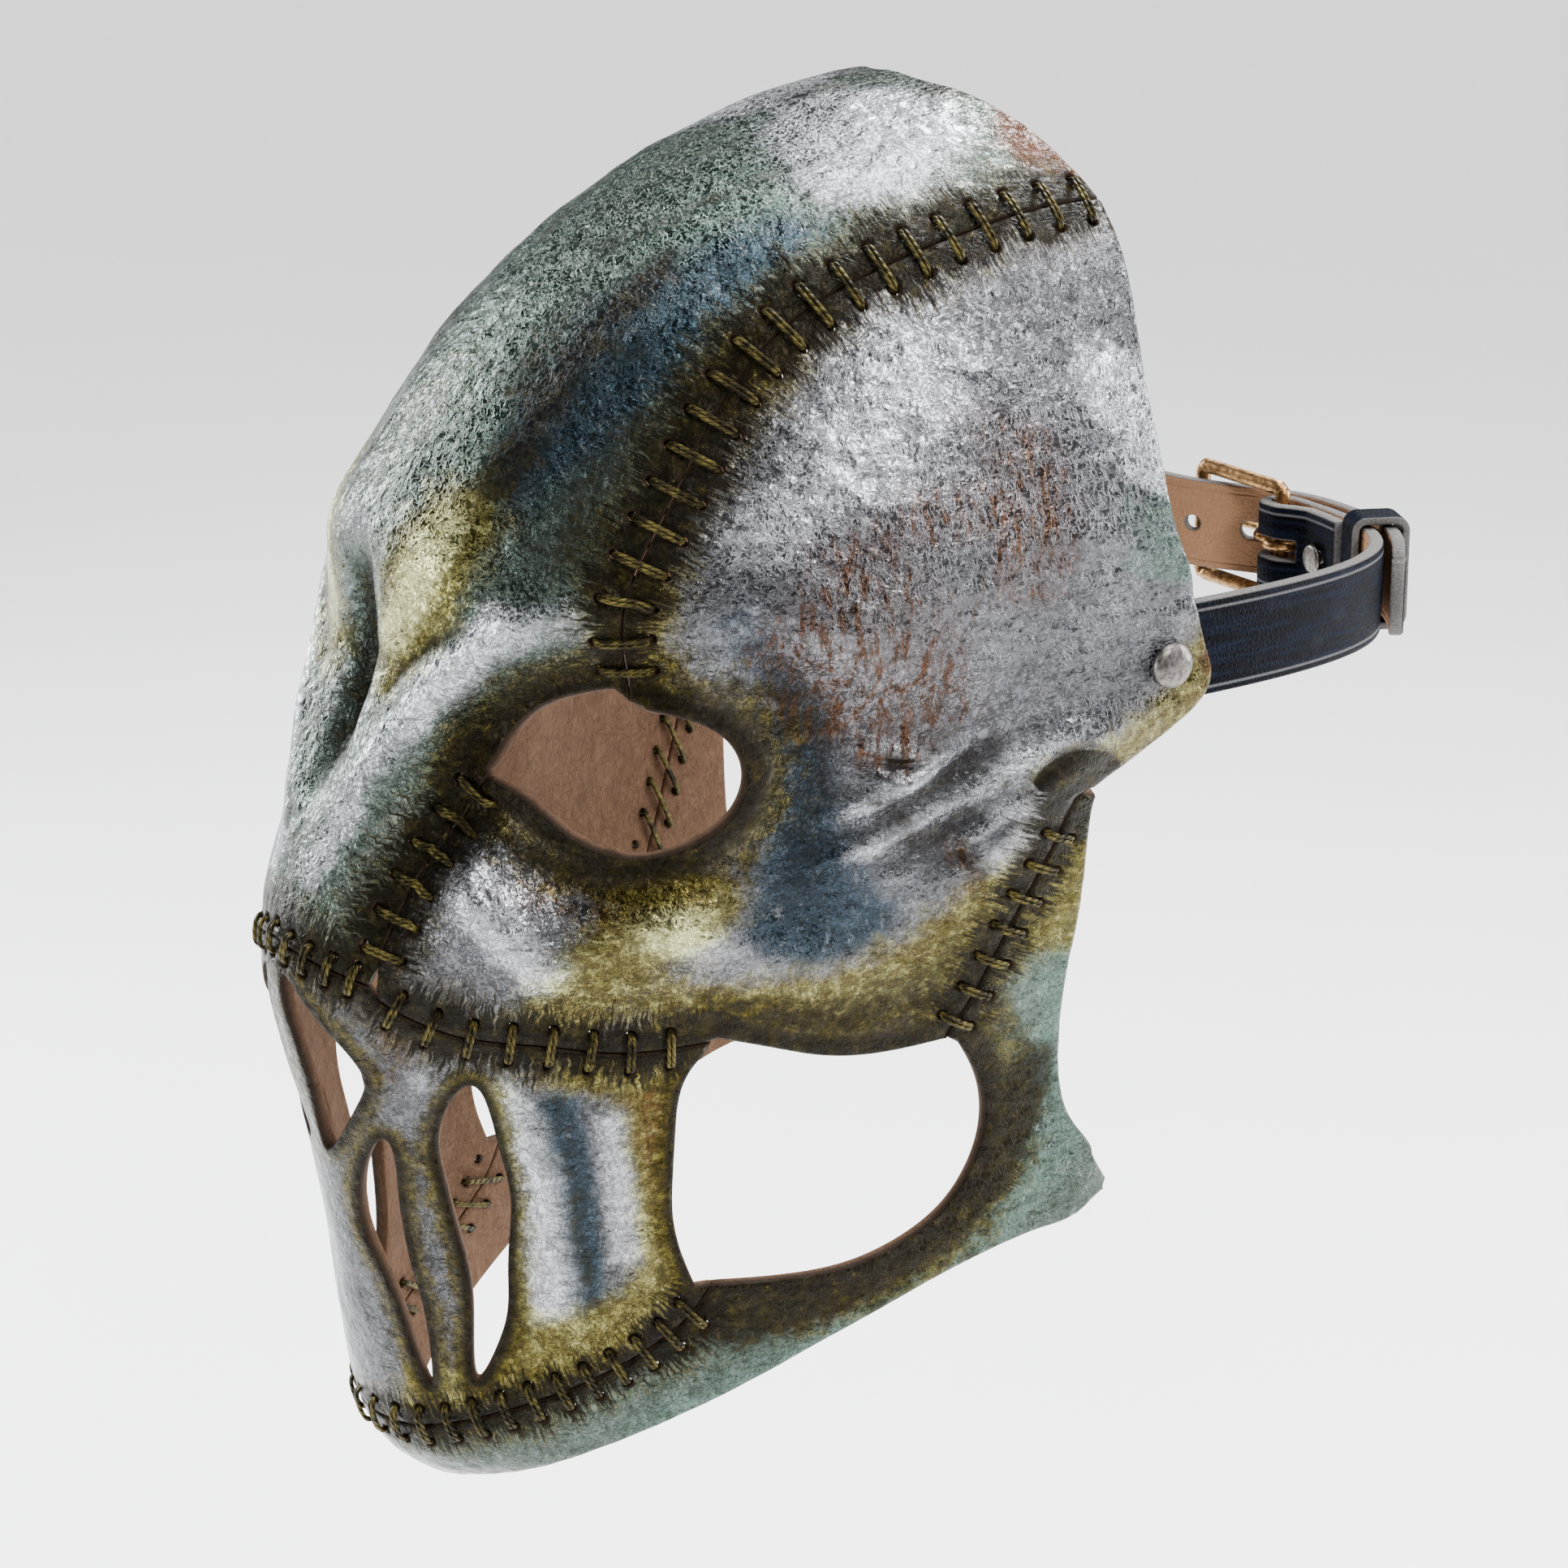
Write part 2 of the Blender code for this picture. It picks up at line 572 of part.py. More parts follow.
def strap(name, route, tip, holes, shader, collection):
    at = distances(route)
    flat, faces = cut_flat([strap_outline(at, tip)] + holes, [])
    points = np.stack([np.interp(flat[:, 0], at, route[:, k]) for k in range(3)], -1)
    points[:, 2] += flat[:, 1]
    piece = add_mesh(name, points, faces, shader, collection)
    solidify(piece, STRAP_SKIN, 0, even=True)
    return piece


def rivet(name, place, inward, stack, caps, shader, collection):
    """A two-part rivet: a domed cap on its post, and a flat cap on the far side of the stack."""
    radius, height = caps
    dome = [(RIVET_POST, -stack), (RIVET_POST, 0), (radius * 0.92, 0), (radius, height * 0.25)]
    dome += [(radius * math.cos(a), height * (0.25 + 0.75 * math.sin(a))) for a in np.radians((25, 50, 70))]
    outward_axis = -np.asarray(inward, float)
    turned(name, dome, place, outward_axis, shader, collection)
    back = [(radius * 0.8, -stack - 1.3), (radius * 0.9, -stack - 0.9), (radius * 0.9, -stack - 0.3)]
    turned(name.replace("rivet", "rivet_back"), back, place, outward_axis, shader, collection)


def make_buckle(metal, collection):
    along = END_BAR - HEEL
    reach = np.linalg.norm(along[:2])
    ahead = along / np.linalg.norm(along)
    half = STRAP_WIDTH / 2 + 2 * PLAY + BAR_RADIUS
    corner = 2.0
    frame = []
    for sx, sz, first in ((1, 1, 0), (0, 1, 90), (0, -1, 180), (1, -1, 270)):
        for angle in np.radians(first + np.array([0, 45, 90])):
            x = reach - corner if sx else corner
            across = (half - corner) * sz + corner * math.sin(angle)
            frame.append(HEEL + ahead * (x + corner * math.cos(angle)) + np.array([0, 0, across]))
    hang(tube("buckle_frame", frame, BAR_RADIUS, metal, collection, cyclic=True), HEEL, collection)

    level = np.array([along[0], along[1], 0]) / reach
    out = np.cross(level, (0, 0, 1))
    out *= np.sign(np.dot(out, ellipse(HEEL_AT, 1) - ellipse(HEEL_AT, 0)))
    eye = BAR_RADIUS + PLAY + PRONG_RADIUS
    prong = [(eye * math.cos(a), eye * math.sin(a)) for a in np.radians(np.arange(-50, -311, -26))]
    prong += [(5.5, 1.4), (8.0, 1.8), (9.6, 4.4), (11.4, 6.9), (13.5, 7.9), (reach, 7.4), (reach + 3, 6.4)]
    points = [HEEL + level * x + out * y for x, y in prong]
    hang(tube("buckle_prong", points, PRONG_RADIUS, metal, collection), HEEL, collection)


def make_keeper(leather, collection):
    """A band round the strap and the tail that lies on it."""
    middle = ellipse(KEEPER_AT, TAIL_LIFT / 2)
    out = ellipse(KEEPER_AT, 1) - ellipse(KEEPER_AT, 0)
    along = np.cross((0, 0, 1), out)
    half_thick = (TAIL_LIFT + STRAP_SKIN) / 2 + 0.8
    half_high = STRAP_WIDTH / 2 + 1.0
    width, wall, corner = 8.0, 1.6, 1.5
    outline = []
    for sx, sz, first in ((1, 1, 0), (-1, 1, 90), (-1, -1, 180), (1, -1, 270)):
        for angle in np.radians(first + np.array([0, 30, 60, 90])):
            outline.append(((half_thick - corner) * sx + corner * math.cos(angle),
                            (half_high - corner) * sz + corner * math.sin(angle)))
    count = len(outline)
    points = [middle + out * x + np.array([0, 0, z]) + along * side
              for side in (-width / 2, width / 2) for x, z in outline]
    faces = [(k, (k + 1) % count, (k + 1) % count + count, k + count) for k in range(count)]
    band = add_mesh("keeper_loop", points, faces, leather, collection)
    solidify(band, wall, -1)
    hang(band, middle, collection)


def make_strap(leather, metal, brass, collection):
    half = STRAP_WIDTH / 2
    left, right = left_route(), right_route()
    bend = distance_to(left, HEEL + np.cross((0, 0, 1), ellipse(HEEL_AT, 0) - HEEL))
    fold_rivet_at = distance_to(left, ellipse(FOLD_RIVET_AT, 0))
    fold_back_at = distance_to(left, ellipse(FOLD_RIVET_AT, -STRAP_SKIN - FOLD_GAP))
    left_holes = [round_hole(half, 0, RIVET_HOLE), slot(distances(left), bend - 12, bend + 12, 2.2)]
    left_holes += [round_hole(place, 0, RIVET_HOLE, 1.0) for place in (fold_rivet_at, fold_back_at)]
    strap("strap_left", left, False, left_holes, leather, collection)

    prong_at = distance_to(right, ellipse(HEEL_AT + 8.2, tail_lift(HEEL_AT + 8.2)))
    spare = [round_hole(prong_at + step, 0, 1.6) for step in (-28, -14, 14, 28)]
    right_holes = [round_hole(half, 0, RIVET_HOLE), round_hole(prong_at, 0, PRONG_RADIUS + 0.8, 1.6)] + spare
    strap("strap_right", right, True, right_holes, leather, collection)

    make_keeper(leather, collection)
    make_buckle(brass, collection)
    seat = ellipse(FOLD_RIVET_AT, STRAP_SKIN / 2 + 0.3)
    inward = ellipse(FOLD_RIVET_AT, 0) - ellipse(FOLD_RIVET_AT, 1)
    rivet("fold_rivet", seat, inward, 2 * STRAP_SKIN + FOLD_GAP + 0.6, (3.4, 0.9), metal, collection)
    for side, sign in (("left", 1), ("right", -1)):
        seat = np.array([sign * (RIVET_PLACE[0] + 0.65), 0, 0])
        stack = RIVET_PLACE[0] + 0.65 - STRAP_SIDE + STRAP_SKIN / 2 + 0.3
        rivet(f"temple_rivet_{side}", seat, (-sign, 0, 0), stack, (RIVET_CAP, 2.4), metal, collection)


def main():
    for old in list(bpy.data.objects):
        bpy.data.objects.remove(old, do_unlink=True)
    collection = bpy.data.collections.new("laced_leather_mask")
    bpy.context.scene.collection.children.link(collection)
    leather = material("painted_leather", (0.42, 0.43, 0.42), 0.4, 0.7)
    thread = material("waxed_thread", (0.10, 0.08, 0.04), 0.6, 0.0)
    black = material("black_strap_leather", (0.02, 0.02, 0.025), 0.5, 0.0)
    pewter = material("pewter", *METAL["pewter"], 1.0)
    brass = material("antique_brass", *METAL["antique_brass"], 1.0)
    make_panels(leather, collection)
    make_lacing(thread, collection)
    make_strap(black, pewter, brass, collection)


main()
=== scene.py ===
# %% [markdown]
# # A laced leather face mask
#
# The real mask is five pieces of vegetable-tanned leather.  Each is cut flat, soaked, pressed over a
# carved form, laced to its neighbours with waxed thread and then painted with metallic paint that is
# rubbed back to dark brown along the seams.  The solid model holds the sizes and the joints.  This
# script makes what the eye sees: the pressed leather with its folds and cut edges, the doubled
# thread, the strap, the metal, and the paint.

# %% Load the frame
import math

import bpy
import numpy as np
from mathutils import Matrix, Vector, kdtree, noise
from mathutils.geometry import delaunay_2d_cdt


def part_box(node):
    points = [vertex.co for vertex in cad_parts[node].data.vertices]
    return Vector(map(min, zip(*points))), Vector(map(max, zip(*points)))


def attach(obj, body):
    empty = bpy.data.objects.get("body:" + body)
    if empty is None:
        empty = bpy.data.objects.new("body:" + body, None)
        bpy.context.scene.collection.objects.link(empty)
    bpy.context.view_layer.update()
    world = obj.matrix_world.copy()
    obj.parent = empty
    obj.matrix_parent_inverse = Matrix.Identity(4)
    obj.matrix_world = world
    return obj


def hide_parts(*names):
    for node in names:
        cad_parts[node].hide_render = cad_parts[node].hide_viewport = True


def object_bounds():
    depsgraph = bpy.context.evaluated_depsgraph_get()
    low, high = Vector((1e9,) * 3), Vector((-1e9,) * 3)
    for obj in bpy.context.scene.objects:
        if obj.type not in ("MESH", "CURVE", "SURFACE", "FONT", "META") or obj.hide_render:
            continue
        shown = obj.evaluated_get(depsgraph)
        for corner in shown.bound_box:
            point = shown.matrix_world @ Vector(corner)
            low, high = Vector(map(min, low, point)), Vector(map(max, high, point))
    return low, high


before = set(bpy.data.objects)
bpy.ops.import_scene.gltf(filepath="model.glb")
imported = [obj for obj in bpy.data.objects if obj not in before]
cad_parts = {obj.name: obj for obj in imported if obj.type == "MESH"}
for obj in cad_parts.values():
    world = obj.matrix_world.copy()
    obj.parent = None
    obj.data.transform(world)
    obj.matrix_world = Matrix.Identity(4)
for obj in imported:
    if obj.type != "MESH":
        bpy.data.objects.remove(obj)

METRES = 0.001
cad_low, cad_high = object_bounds()
print("solid model", [round(v / METRES) for v in cad_high - cad_low], "mm")

# %% [markdown]
# ## The camera
#
# The mask is seen from its left and a little above, through a long lens, so that near and far parts
# keep nearly the same scale.  The camera is placed by two angles and a distance from a point on the
# face, which is easier to reason about than three rotations.

# %% Camera
VIEW_TURN = math.radians(58.0)
VIEW_RISE = math.radians(18.0)
VIEW_DISTANCE = 0.900
VIEW_LENS = 102.64
VIEW_SENSOR = 36.0
AIM_RIGHT = -0.0332
AIM_UP = -0.0420


def place_camera():
    right = Vector((math.cos(VIEW_TURN), math.sin(VIEW_TURN), 0))
    back = Vector((math.sin(VIEW_TURN) * math.cos(VIEW_RISE), -math.cos(VIEW_TURN) * math.cos(VIEW_RISE),
                   math.sin(VIEW_RISE)))
    up = back.cross(right)
    place = right * AIM_RIGHT + up * AIM_UP + back * VIEW_DISTANCE
    data = bpy.data.cameras.new("camera")
    data.lens = VIEW_LENS
    data.sensor_width = VIEW_SENSOR
    data.clip_start = 0.05
    camera = bpy.data.objects.new("camera", data)
    camera.matrix_world = Matrix.Translation(place) @ Matrix((right, up, back)).transposed().to_4x4()
    bpy.context.scene.collection.objects.link(camera)
    bpy.context.scene.camera = camera


place_camera()
print("camera at", [round(v / METRES) for v in bpy.context.scene.camera.location], "mm")

# %% [markdown]
# ## The form and the pattern
#
# A leather worker thinks in two spaces: the flat pattern that is cut, and the form that it is pressed
# over.  Here a place is (turn, rise): degrees from the middle of the face, and millimetres up its
# middle line.  The form is a row of stations, each a curve from the middle of the face back to a
# spine, with strokes of relief pressed into it.  These are the same rules as the solid model's, so
# the fine leather lies exactly where the coarse leather is.

# %% Sizes of the leather and the form's tables
SKIN = 2.8
SEAM_GAP = 0.15          # the lacing draws the edges almost together
TURN_SCALE = 1.6
RIVET_SPOT = (82.8, 216.2)
RIVET_HOLE = 1.9         # radius of the holes for the rivets
ROUND_SIDES = 20         # corners of a hole that a rivet or a prong goes through

# Stations up the middle line: face y, z; spine y, z; half width; power of the cheek's curve
STATIONS = [
    (-95, -172, -14, -130, 58, 1.20),   # under the chin
    (-120, -166, -13, -126, 59, 1.25),
    (-133, -157, -12, -121, 60, 1.35),  # chin
    (-138, -144, -10, -113, 61, 1.45),
    (-141, -124, -8, -101, 62, 1.50),
    (-144, -102, -6, -88, 62, 1.50),    # mouth
    (-149, -79, -3, -72, 64, 1.45),
    (-154, -57, 0, -56, 67, 1.35),      # under the nose
    (-150, -34, 5, -38, 70, 1.20),
    (-142, -14, 9, -22, 72, 1.10),      # bridge of the nose
    (-136, 4, 14, -7, 74, 1.05),
    (-133, 22, 19, 5, 75, 1.00),        # brow
    (-125, 41, 23, 13, 76, 1.00),
    (-107, 63, 27, 18, 77, 1.00),       # forehead
    (-78, 84, 30, 21, 78, 1.00),
    (-48, 97, 31, 23, 78, 1.00),
    (-20, 103, 32, 23, 78, 1.00),       # crown
    (12, 102, 33, 23, 78, 1.00),
]

# Relief pressed into the leather.  Each stroke is a line of (turn, rise, height, half width).
STROKES = {
    "forehead_boss": [(0, 234, 2.5, 12), (14, 232, 3, 12)],
    "frown": [(0, 224, -4, 6), (0, 211, -7, 7), (0, 197, -5, 6), (0, 186, -2, 5)],
    "brow": [(39, 226, 0.5, 7), (32, 225, 2.8, 7), (25, 220, 4, 7), (18, 208, 4, 7), (12, 193, 3.5, 6),
             (7, 178, 1, 6)],
    "nose_wall": [(18, 156, -2, 7), (20.5, 170, -6, 8), (22.5, 184, -8, 8)],
    "socket": [(23.5, 198, -8, 8), (30, 208, -6, 7), (39, 212, -3.5, 6)],
    "lower_lid": [(28, 182, -4, 7), (37, 173, -4, 6), (48, 176, -1.5, 6)],
    "inner_cheek": [(27, 168, 3, 6), (35, 153, 4, 7)],
    "outer_cheek": [(46, 159, 3.5, 8), (52, 153, 2, 9)],
    "orbit_groove": [(49, 220, -1.5, 6), (52.5, 210, -4, 7), (56, 196, -5, 7), (56, 178, -5, 7),
                     (56, 160, -2.5, 8)],
    "temple": [(57, 226, 3, 15), (62, 252, 2, 18)],
    "ear_hollow": [(64, 206, -2, 8), (69, 192, -3.5, 7), (66, 176, -2, 7)],
    "cheek_arch": [(84, 205, 1, 7), (77, 198, 3, 6.5), (73, 185, 3.2, 6.5), (71, 170, 1.5, 6)],
    "front_tooth": [(32, 128, 1, 6), (32.5, 105, 3.2, 6), (33, 80, 3, 6), (34, 62, 1, 6)],
    "back_tooth": [(39, 126, 1, 5), (39, 104, 1.8, 5), (39.5, 80, 1.6, 5), (39, 64, 0.5, 5)],
}

# Seams: points along the middle, stitches, reach of a hole from the middle, bare lengths at the ends
SEAMS = {
    "nose_tip": ([(0, 153.5), (10, 151), (17.6, 148)], 9, 3.0, (3.5, 3.5)),
    "nose_side": ([(18.4, 151.2), (20, 165), (22.3, 179), (25, 190.8)], 6, 4.0, (3.5, 4.0)),
    "mouth": ([(18.8, 145.3), (27.8, 137.4), (34.5, 135), (41, 132), (48, 132.5)], 8, 3.8, (3.5, 8.0)),
    "forehead": ([(38.2, 208), (36.8, 222), (37, 244), (35.4, 277), (34.6, 302), (36.8, 331), (39.2, 380)],
                 20, 5.2, (6.0, 4.0)),
    "jaw": ([(66.8, 124.5), (70, 138.5), (73.2, 156), (76, 174), (77.2, 185)], 7, 3.6, (4.0, 8.0)),
    "chin": ([(0, 50), (14, 49.5), (25, 51.5), (33, 54), (39, 57.5), (43.5, 63), (46, 71)],
             26, 4.0, (7.0, 7.0)),
}

# Cut edges that are not laced, as runs of smooth points on the wearer's left half
EYE_TOP = [(24.5, 192.3), (25.9, 198.4), (28.6, 204.4), (32.4, 207.8), (36.5, 209.8)]
EYE_UNDER = [(25.8, 190.4), (29.9, 187.6), (34, 182.8), (38, 177.2), (42, 174.9), (46, 177.2), (49, 183.5),
             (49.9, 191), (48.7, 198), (46, 203), (42.5, 205.6), (39.8, 206.6)]
CHEEK_TOP = [(67, 124), (62.7, 123.2), (56.1, 125.2), (52, 129.5), (48.5, 133.2)]
CHEEK_FRONT = [(47.4, 130), (45.6, 124.5), (43.8, 110), (43.1, 97), (43.2, 84), (44.6, 71.5)]
CHEEK_BACK = [(47, 70.5), (53, 67), (59.4, 65.3), (65.5, 69.9), (69.3, 81.3), (70.9, 97.5), (70.2, 109),
              (68, 122)]
REAR_TOP = [(0, 377), (10, 378.5), (17.5, 381.5), (28, 381.8), (38.6, 380.3)]
REAR_SIDE = [(40, 380), (46, 374.6), (53, 365), (61.7, 345.7), (70, 317.5), (77.3, 277.6), (82.6, 243),
             (85.6, 222), (87, 208), (85, 200.6), (82, 193.5), (78.8, 187)]
REAR_JAW = [(79.2, 184.5), (79.2, 168), (79.2, 152), (78.6, 128), (80, 104), (84.3, 86), (93, 70.5),
            (97, 61)]
JAW_UNDER = [(97, 57), (90, 53), (77, 54.5), (64.7, 50.3), (46, 40.3), (24, 33), (0, 30)]
NOSTRIL = [(3.6, 147), (9.5, 139), (14.4, 127), (11.5, 120), (3.5, 109.6), (3.4, 128)]
FRONT_SLOT = [(15.1, 113.5), (15, 99), (15.6, 82), (16.3, 68), (15.7, 59.2), (13, 74), (10, 87), (8.4, 98.5)]
BACK_SLOT = [(26.9, 126.4), (28, 113), (28.2, 100), (27, 84), (25.5, 68.5), (22.4, 59.5), (22.6, 76),
             (22, 95), (21.5, 106), (22, 115)]


# %% [markdown]
# ## From the pattern to the form
#
# A cast head could be sculpted, but a pressed mask is easier to describe the way it is made.  The bare
# form is interpolated between the stations, and then the strokes press ridges and hollows into it
# along its own outward direction.  The slopes of the form are kept as well, because the holes, the
# thread and the edges of the leather all have to be placed square to it.

# %% Smooth curves
def spline(knots, values):
    """A natural cubic through the values at the knots, as a function."""
    x, y = np.asarray(knots, float), np.asarray(values, float)
    gap, count = np.diff(x), len(x)
    rows, right = np.eye(count), np.zeros(count)
    for i in range(1, count - 1):
        rows[i, i - 1:i + 2] = gap[i - 1], 2 * (gap[i - 1] + gap[i]), gap[i]
        right[i] = 6 * ((y[i + 1] - y[i]) / gap[i] - (y[i] - y[i - 1]) / gap[i - 1])
    bend = np.linalg.solve(rows, right)

    def value(at):
        at = np.asarray(at, float)
        i = np.clip(np.searchsorted(x, at) - 1, 0, count - 2)
        a = (x[i + 1] - at) / gap[i]
        b = 1 - a
        curve = (a ** 3 - a) * bend[i] + (b ** 3 - b) * bend[i + 1]
        return a * y[i] + b * y[i + 1] + curve * gap[i] ** 2 / 6

    return value


def smooth(points, step):
    """Points about a step apart on a smooth line through the given ones, in turn and rise."""
    points = np.asarray(points, float)
    run = np.hypot(np.diff(points[:, 0]) * TURN_SCALE, np.diff(points[:, 1]))
    at = np.concatenate([[0], np.cumsum(run)])
    places = np.linspace(0, at[-1], max(2, round(at[-1] / step) + 1))
    return np.stack([spline(at, points[:, 0])(places), spline(at, points[:, 1])(places)], -1)


print("a curve through 0, 1, 0 is", round(float(spline([0, 1, 2], [0, 1, 0])(0.5)), 3), "half way up")

# %% The form
STATION_TABLE = np.array(STATIONS, float)
RISES = np.concatenate([[0], np.cumsum(np.hypot(*np.diff(STATION_TABLE[:, :2], axis=0).T))])
STATION_CURVES = [spline(RISES, column) for column in STATION_TABLE.T]


def bare_form(turn, rise):
    face_y, face_z, spine_y, spine_z, half_width, power = (curve(rise) for curve in STATION_CURVES)
    angle = np.radians(turn)
    forward = np.sign(np.cos(angle)) * np.abs(np.cos(angle)) ** power
    side = half_width * np.sin(angle)
    back = spine_y + (face_y - spine_y) * forward
    return np.stack([side, back, spine_z + (face_z - spine_z) * forward], -1)


def stroke_line(stroke):
    """A stroke's points, filled in so that neighbours are close together."""
    stroke = np.asarray(stroke if len(stroke) > 1 else [*stroke, *stroke], float)
    knots = np.arange(len(stroke))
    places = np.linspace(0, knots[-1], 12 * knots[-1] + 1)
    path = [spline(knots, stroke[:, k])(places) for k in (0, 1)]
    size = [np.interp(places, knots, stroke[:, k]) for k in (2, 3)]
    return np.stack(path + size, -1)


def stroke_field(lines, turn, rise):
    """The sum of soft strokes at each place, mirrored over the middle of the face."""
    total = np.zeros(np.shape(turn))
    for line in lines:
        across = (np.abs(turn)[..., None] - line[:, 0]) * TURN_SCALE
        square = across ** 2 + (rise[..., None] - line[:, 1]) ** 2
        near = square.argmin(-1)
        square = np.take_along_axis(square, near[..., None], -1)[..., 0]
        total = total + line[near, 2] * np.exp(-square / line[near, 3] ** 2)
    return total


STROKE_LINES = [stroke_line(stroke) for stroke in STROKES.values()]


def relief(turn, rise):
    return stroke_field(STROKE_LINES, turn, rise)


def outward(turn, rise, step=0.25):
    """Unit normal of the bare form."""
    along = bare_form(turn + step, rise) - bare_form(turn - step, rise)
    up = bare_form(turn, rise + step) - bare_form(turn, rise - step)
    normal = np.cross(along, up)
    return normal / np.linalg.norm(normal, axis=-1, keepdims=True)


def pressed_form(spots):
    turn, rise = np.asarray(spots, float).T
    return bare_form(turn, rise) + outward(turn, rise) * relief(turn, rise)[:, None]


RIVET_PLACE = pressed_form([RIVET_SPOT])[0]


def form(spots):
    """Points of the pressed form, moved so that the rivets' axis is at y = z = 0."""
    return pressed_form(spots) - np.array([0, RIVET_PLACE[1], RIVET_PLACE[2]])


print("form", round(RISES[-1]), "mm along its middle line, with", len(STROKES), "strokes of relief")


# %% Directions on the form
def slopes(spots, step=0.25):
    """How the form moves for a degree of turn and for a millimetre of rise, and its unit normal."""
    spots = np.asarray(spots, float)
    turning = (form(spots + (step, 0)) - form(spots - (step, 0))) / (2 * step)
    rising = (form(spots + (0, step)) - form(spots - (0, step))) / (2 * step)
    normal = np.cross(turning, rising)
    return turning, rising, normal / np.linalg.norm(normal, axis=1, keepdims=True)


def moved(spots, pushes):
    """Spots moved over the form by a push in millimetres each, given as vectors in space."""
    turning, rising, _ = slopes(spots)
    tt, tr, rr = (turning * turning).sum(1), (turning * rising).sum(1), (rising * rising).sum(1)
    pt, pr = (turning * pushes).sum(1), (rising * pushes).sum(1)
    area = tt * rr - tr * tr
    return np.asarray(spots, float) + np.stack([(pt * rr - pr * tr) / area, (pr * tt - pt * tr) / area], -1)


def sideways(line):
    """Unit vectors to the left of a line on the form, seen from outside."""
    turning, rising, normal = slopes(line)
    run = np.gradient(np.asarray(line, float), axis=0)
    ahead = turning * run[:, :1] + rising * run[:, 1:]
    left = np.cross(normal, ahead)
    return left / np.linalg.norm(left, axis=1, keepdims=True)


def beside(line, distance):
    return moved(line, sideways(line) * distance)


def mirrored(line):
    return np.asarray(line)[::-1] * (-1, 1)


def whole(half):
    """A line from the middle outwards, continued over the other half of the face."""
    return np.vstack([mirrored(half)[:-1], half])


lean = slopes([RIVET_SPOT])[2][0]
print("the leather faces", [round(float(v), 2) for v in lean], "at the left rivet")


# %% [markdown]
# ## Seams and holes
#
# A seam is a line on the form, and its stitches are spread evenly along its real length.  Each stitch
# has two holes, one on each side, so the holes of both panels always face each other.

# %% Seams and holes
SEAM_LINES = {name: smooth(points, 1.0) for name, (points, *_) in SEAMS.items()}


def stitch_holes(name):
    """Left and right holes of every stitch of a seam on the wearer's left half, or of a whole seam."""
    points, count, reach, bare = SEAMS[name]
    line = SEAM_LINES[name]
    if points[0][0] == 0:
        line = whole(line)
    places = form(line)
    at = np.concatenate([[0], np.cumsum(np.linalg.norm(np.diff(places, axis=0), axis=1))])
    wanted = np.linspace(bare[0], at[-1] - bare[1], count)
    middle = np.stack([np.interp(wanted, at, line[:, k]) for k in (0, 1)], -1)
    left = sideways(middle)
    return moved(middle, left * reach), moved(middle, -left * reach)


def ring_around(spot, radius, sides):
    """A punched hole: a regular outline of the given radius on the form."""
    turning, rising, normal = slopes([spot])
    first = turning[0] / np.linalg.norm(turning[0])
    second = np.cross(normal[0], first)
    angles = 2 * math.pi * (np.arange(sides) + 0.5) / sides
    pushes = [radius * (math.cos(a) * first + math.sin(a) * second) for a in angles]
    return moved([spot] * sides, pushes)


print(len(STATIONS), "stations,", len(SEAMS), "seams")

# %% [markdown]
# ## Folds, lumps and paint zones
#
# Wet leather doesn't copy a form exactly: it folds where it is gathered, and it keeps a soft
# lumpiness.  The folds are more strokes, only thinner, and the lumps are smooth noise.  The painter's
# work is described in the same way, and so are the painted highlights and the painted shade: each
# zone is a handful of soft strokes on the pattern, with a strength and a half width.  They are stored
# on the mesh, and the material breaks up their edges.

# %% Folds and paint strokes
FOLDS = {
    "pinch": [(59.5, 196, -0.5, 1.4), (62, 194.4, -1.6, 1.3), (65.5, 194.5, -0.4, 1.4)],
    "pinch_lip": [(60, 198.4, 0.5, 1.8), (62.5, 197, 0.9, 1.7), (65.5, 197, 0.3, 1.8)],
    "fan_one": [(57.5, 180, 0.2, 2.0), (60.5, 186, 0.8, 1.7), (64.5, 193, 0.9, 1.7), (67.5, 201, 0.3, 2.0)],
    "fan_two": [(58.5, 177, -0.2, 1.6), (62.5, 184, -0.8, 1.4), (67, 192, -0.9, 1.5), (70, 200, -0.3, 1.6)],
    "fan_three": [(60, 173, 0.2, 1.8), (65, 181, 0.8, 1.6), (70.5, 191, 0.8, 1.6), (74, 201, 0.3, 1.8)],
    "fan_four": [(62, 170, -0.2, 1.5), (67.5, 178.5, -0.8, 1.4), (73, 190, -0.8, 1.5), (77, 201, -0.2, 1.6)],
    "fan_five": [(58, 171, 0.2, 1.4), (62, 177, 0.6, 1.2), (66, 184.5, 0.5, 1.3)],
    "fan_six": [(66, 168, -0.2, 1.2), (69.5, 174, -0.6, 1.2), (72, 181, -0.5, 1.2)],
    "scar": [(67.5, 175, -0.5, 0.9), (69, 170, -0.9, 0.9), (69.2, 165, -0.4, 0.9)],
    "rim_wave": [(84, 240, -0.5, 4), (83, 231, 0.5, 4), (86, 218, -0.4, 3)],
    "brow_crease": [(10, 205, -0.6, 1.6), (15, 214, -0.9, 1.6), (21, 220, -0.5, 1.8)],
}
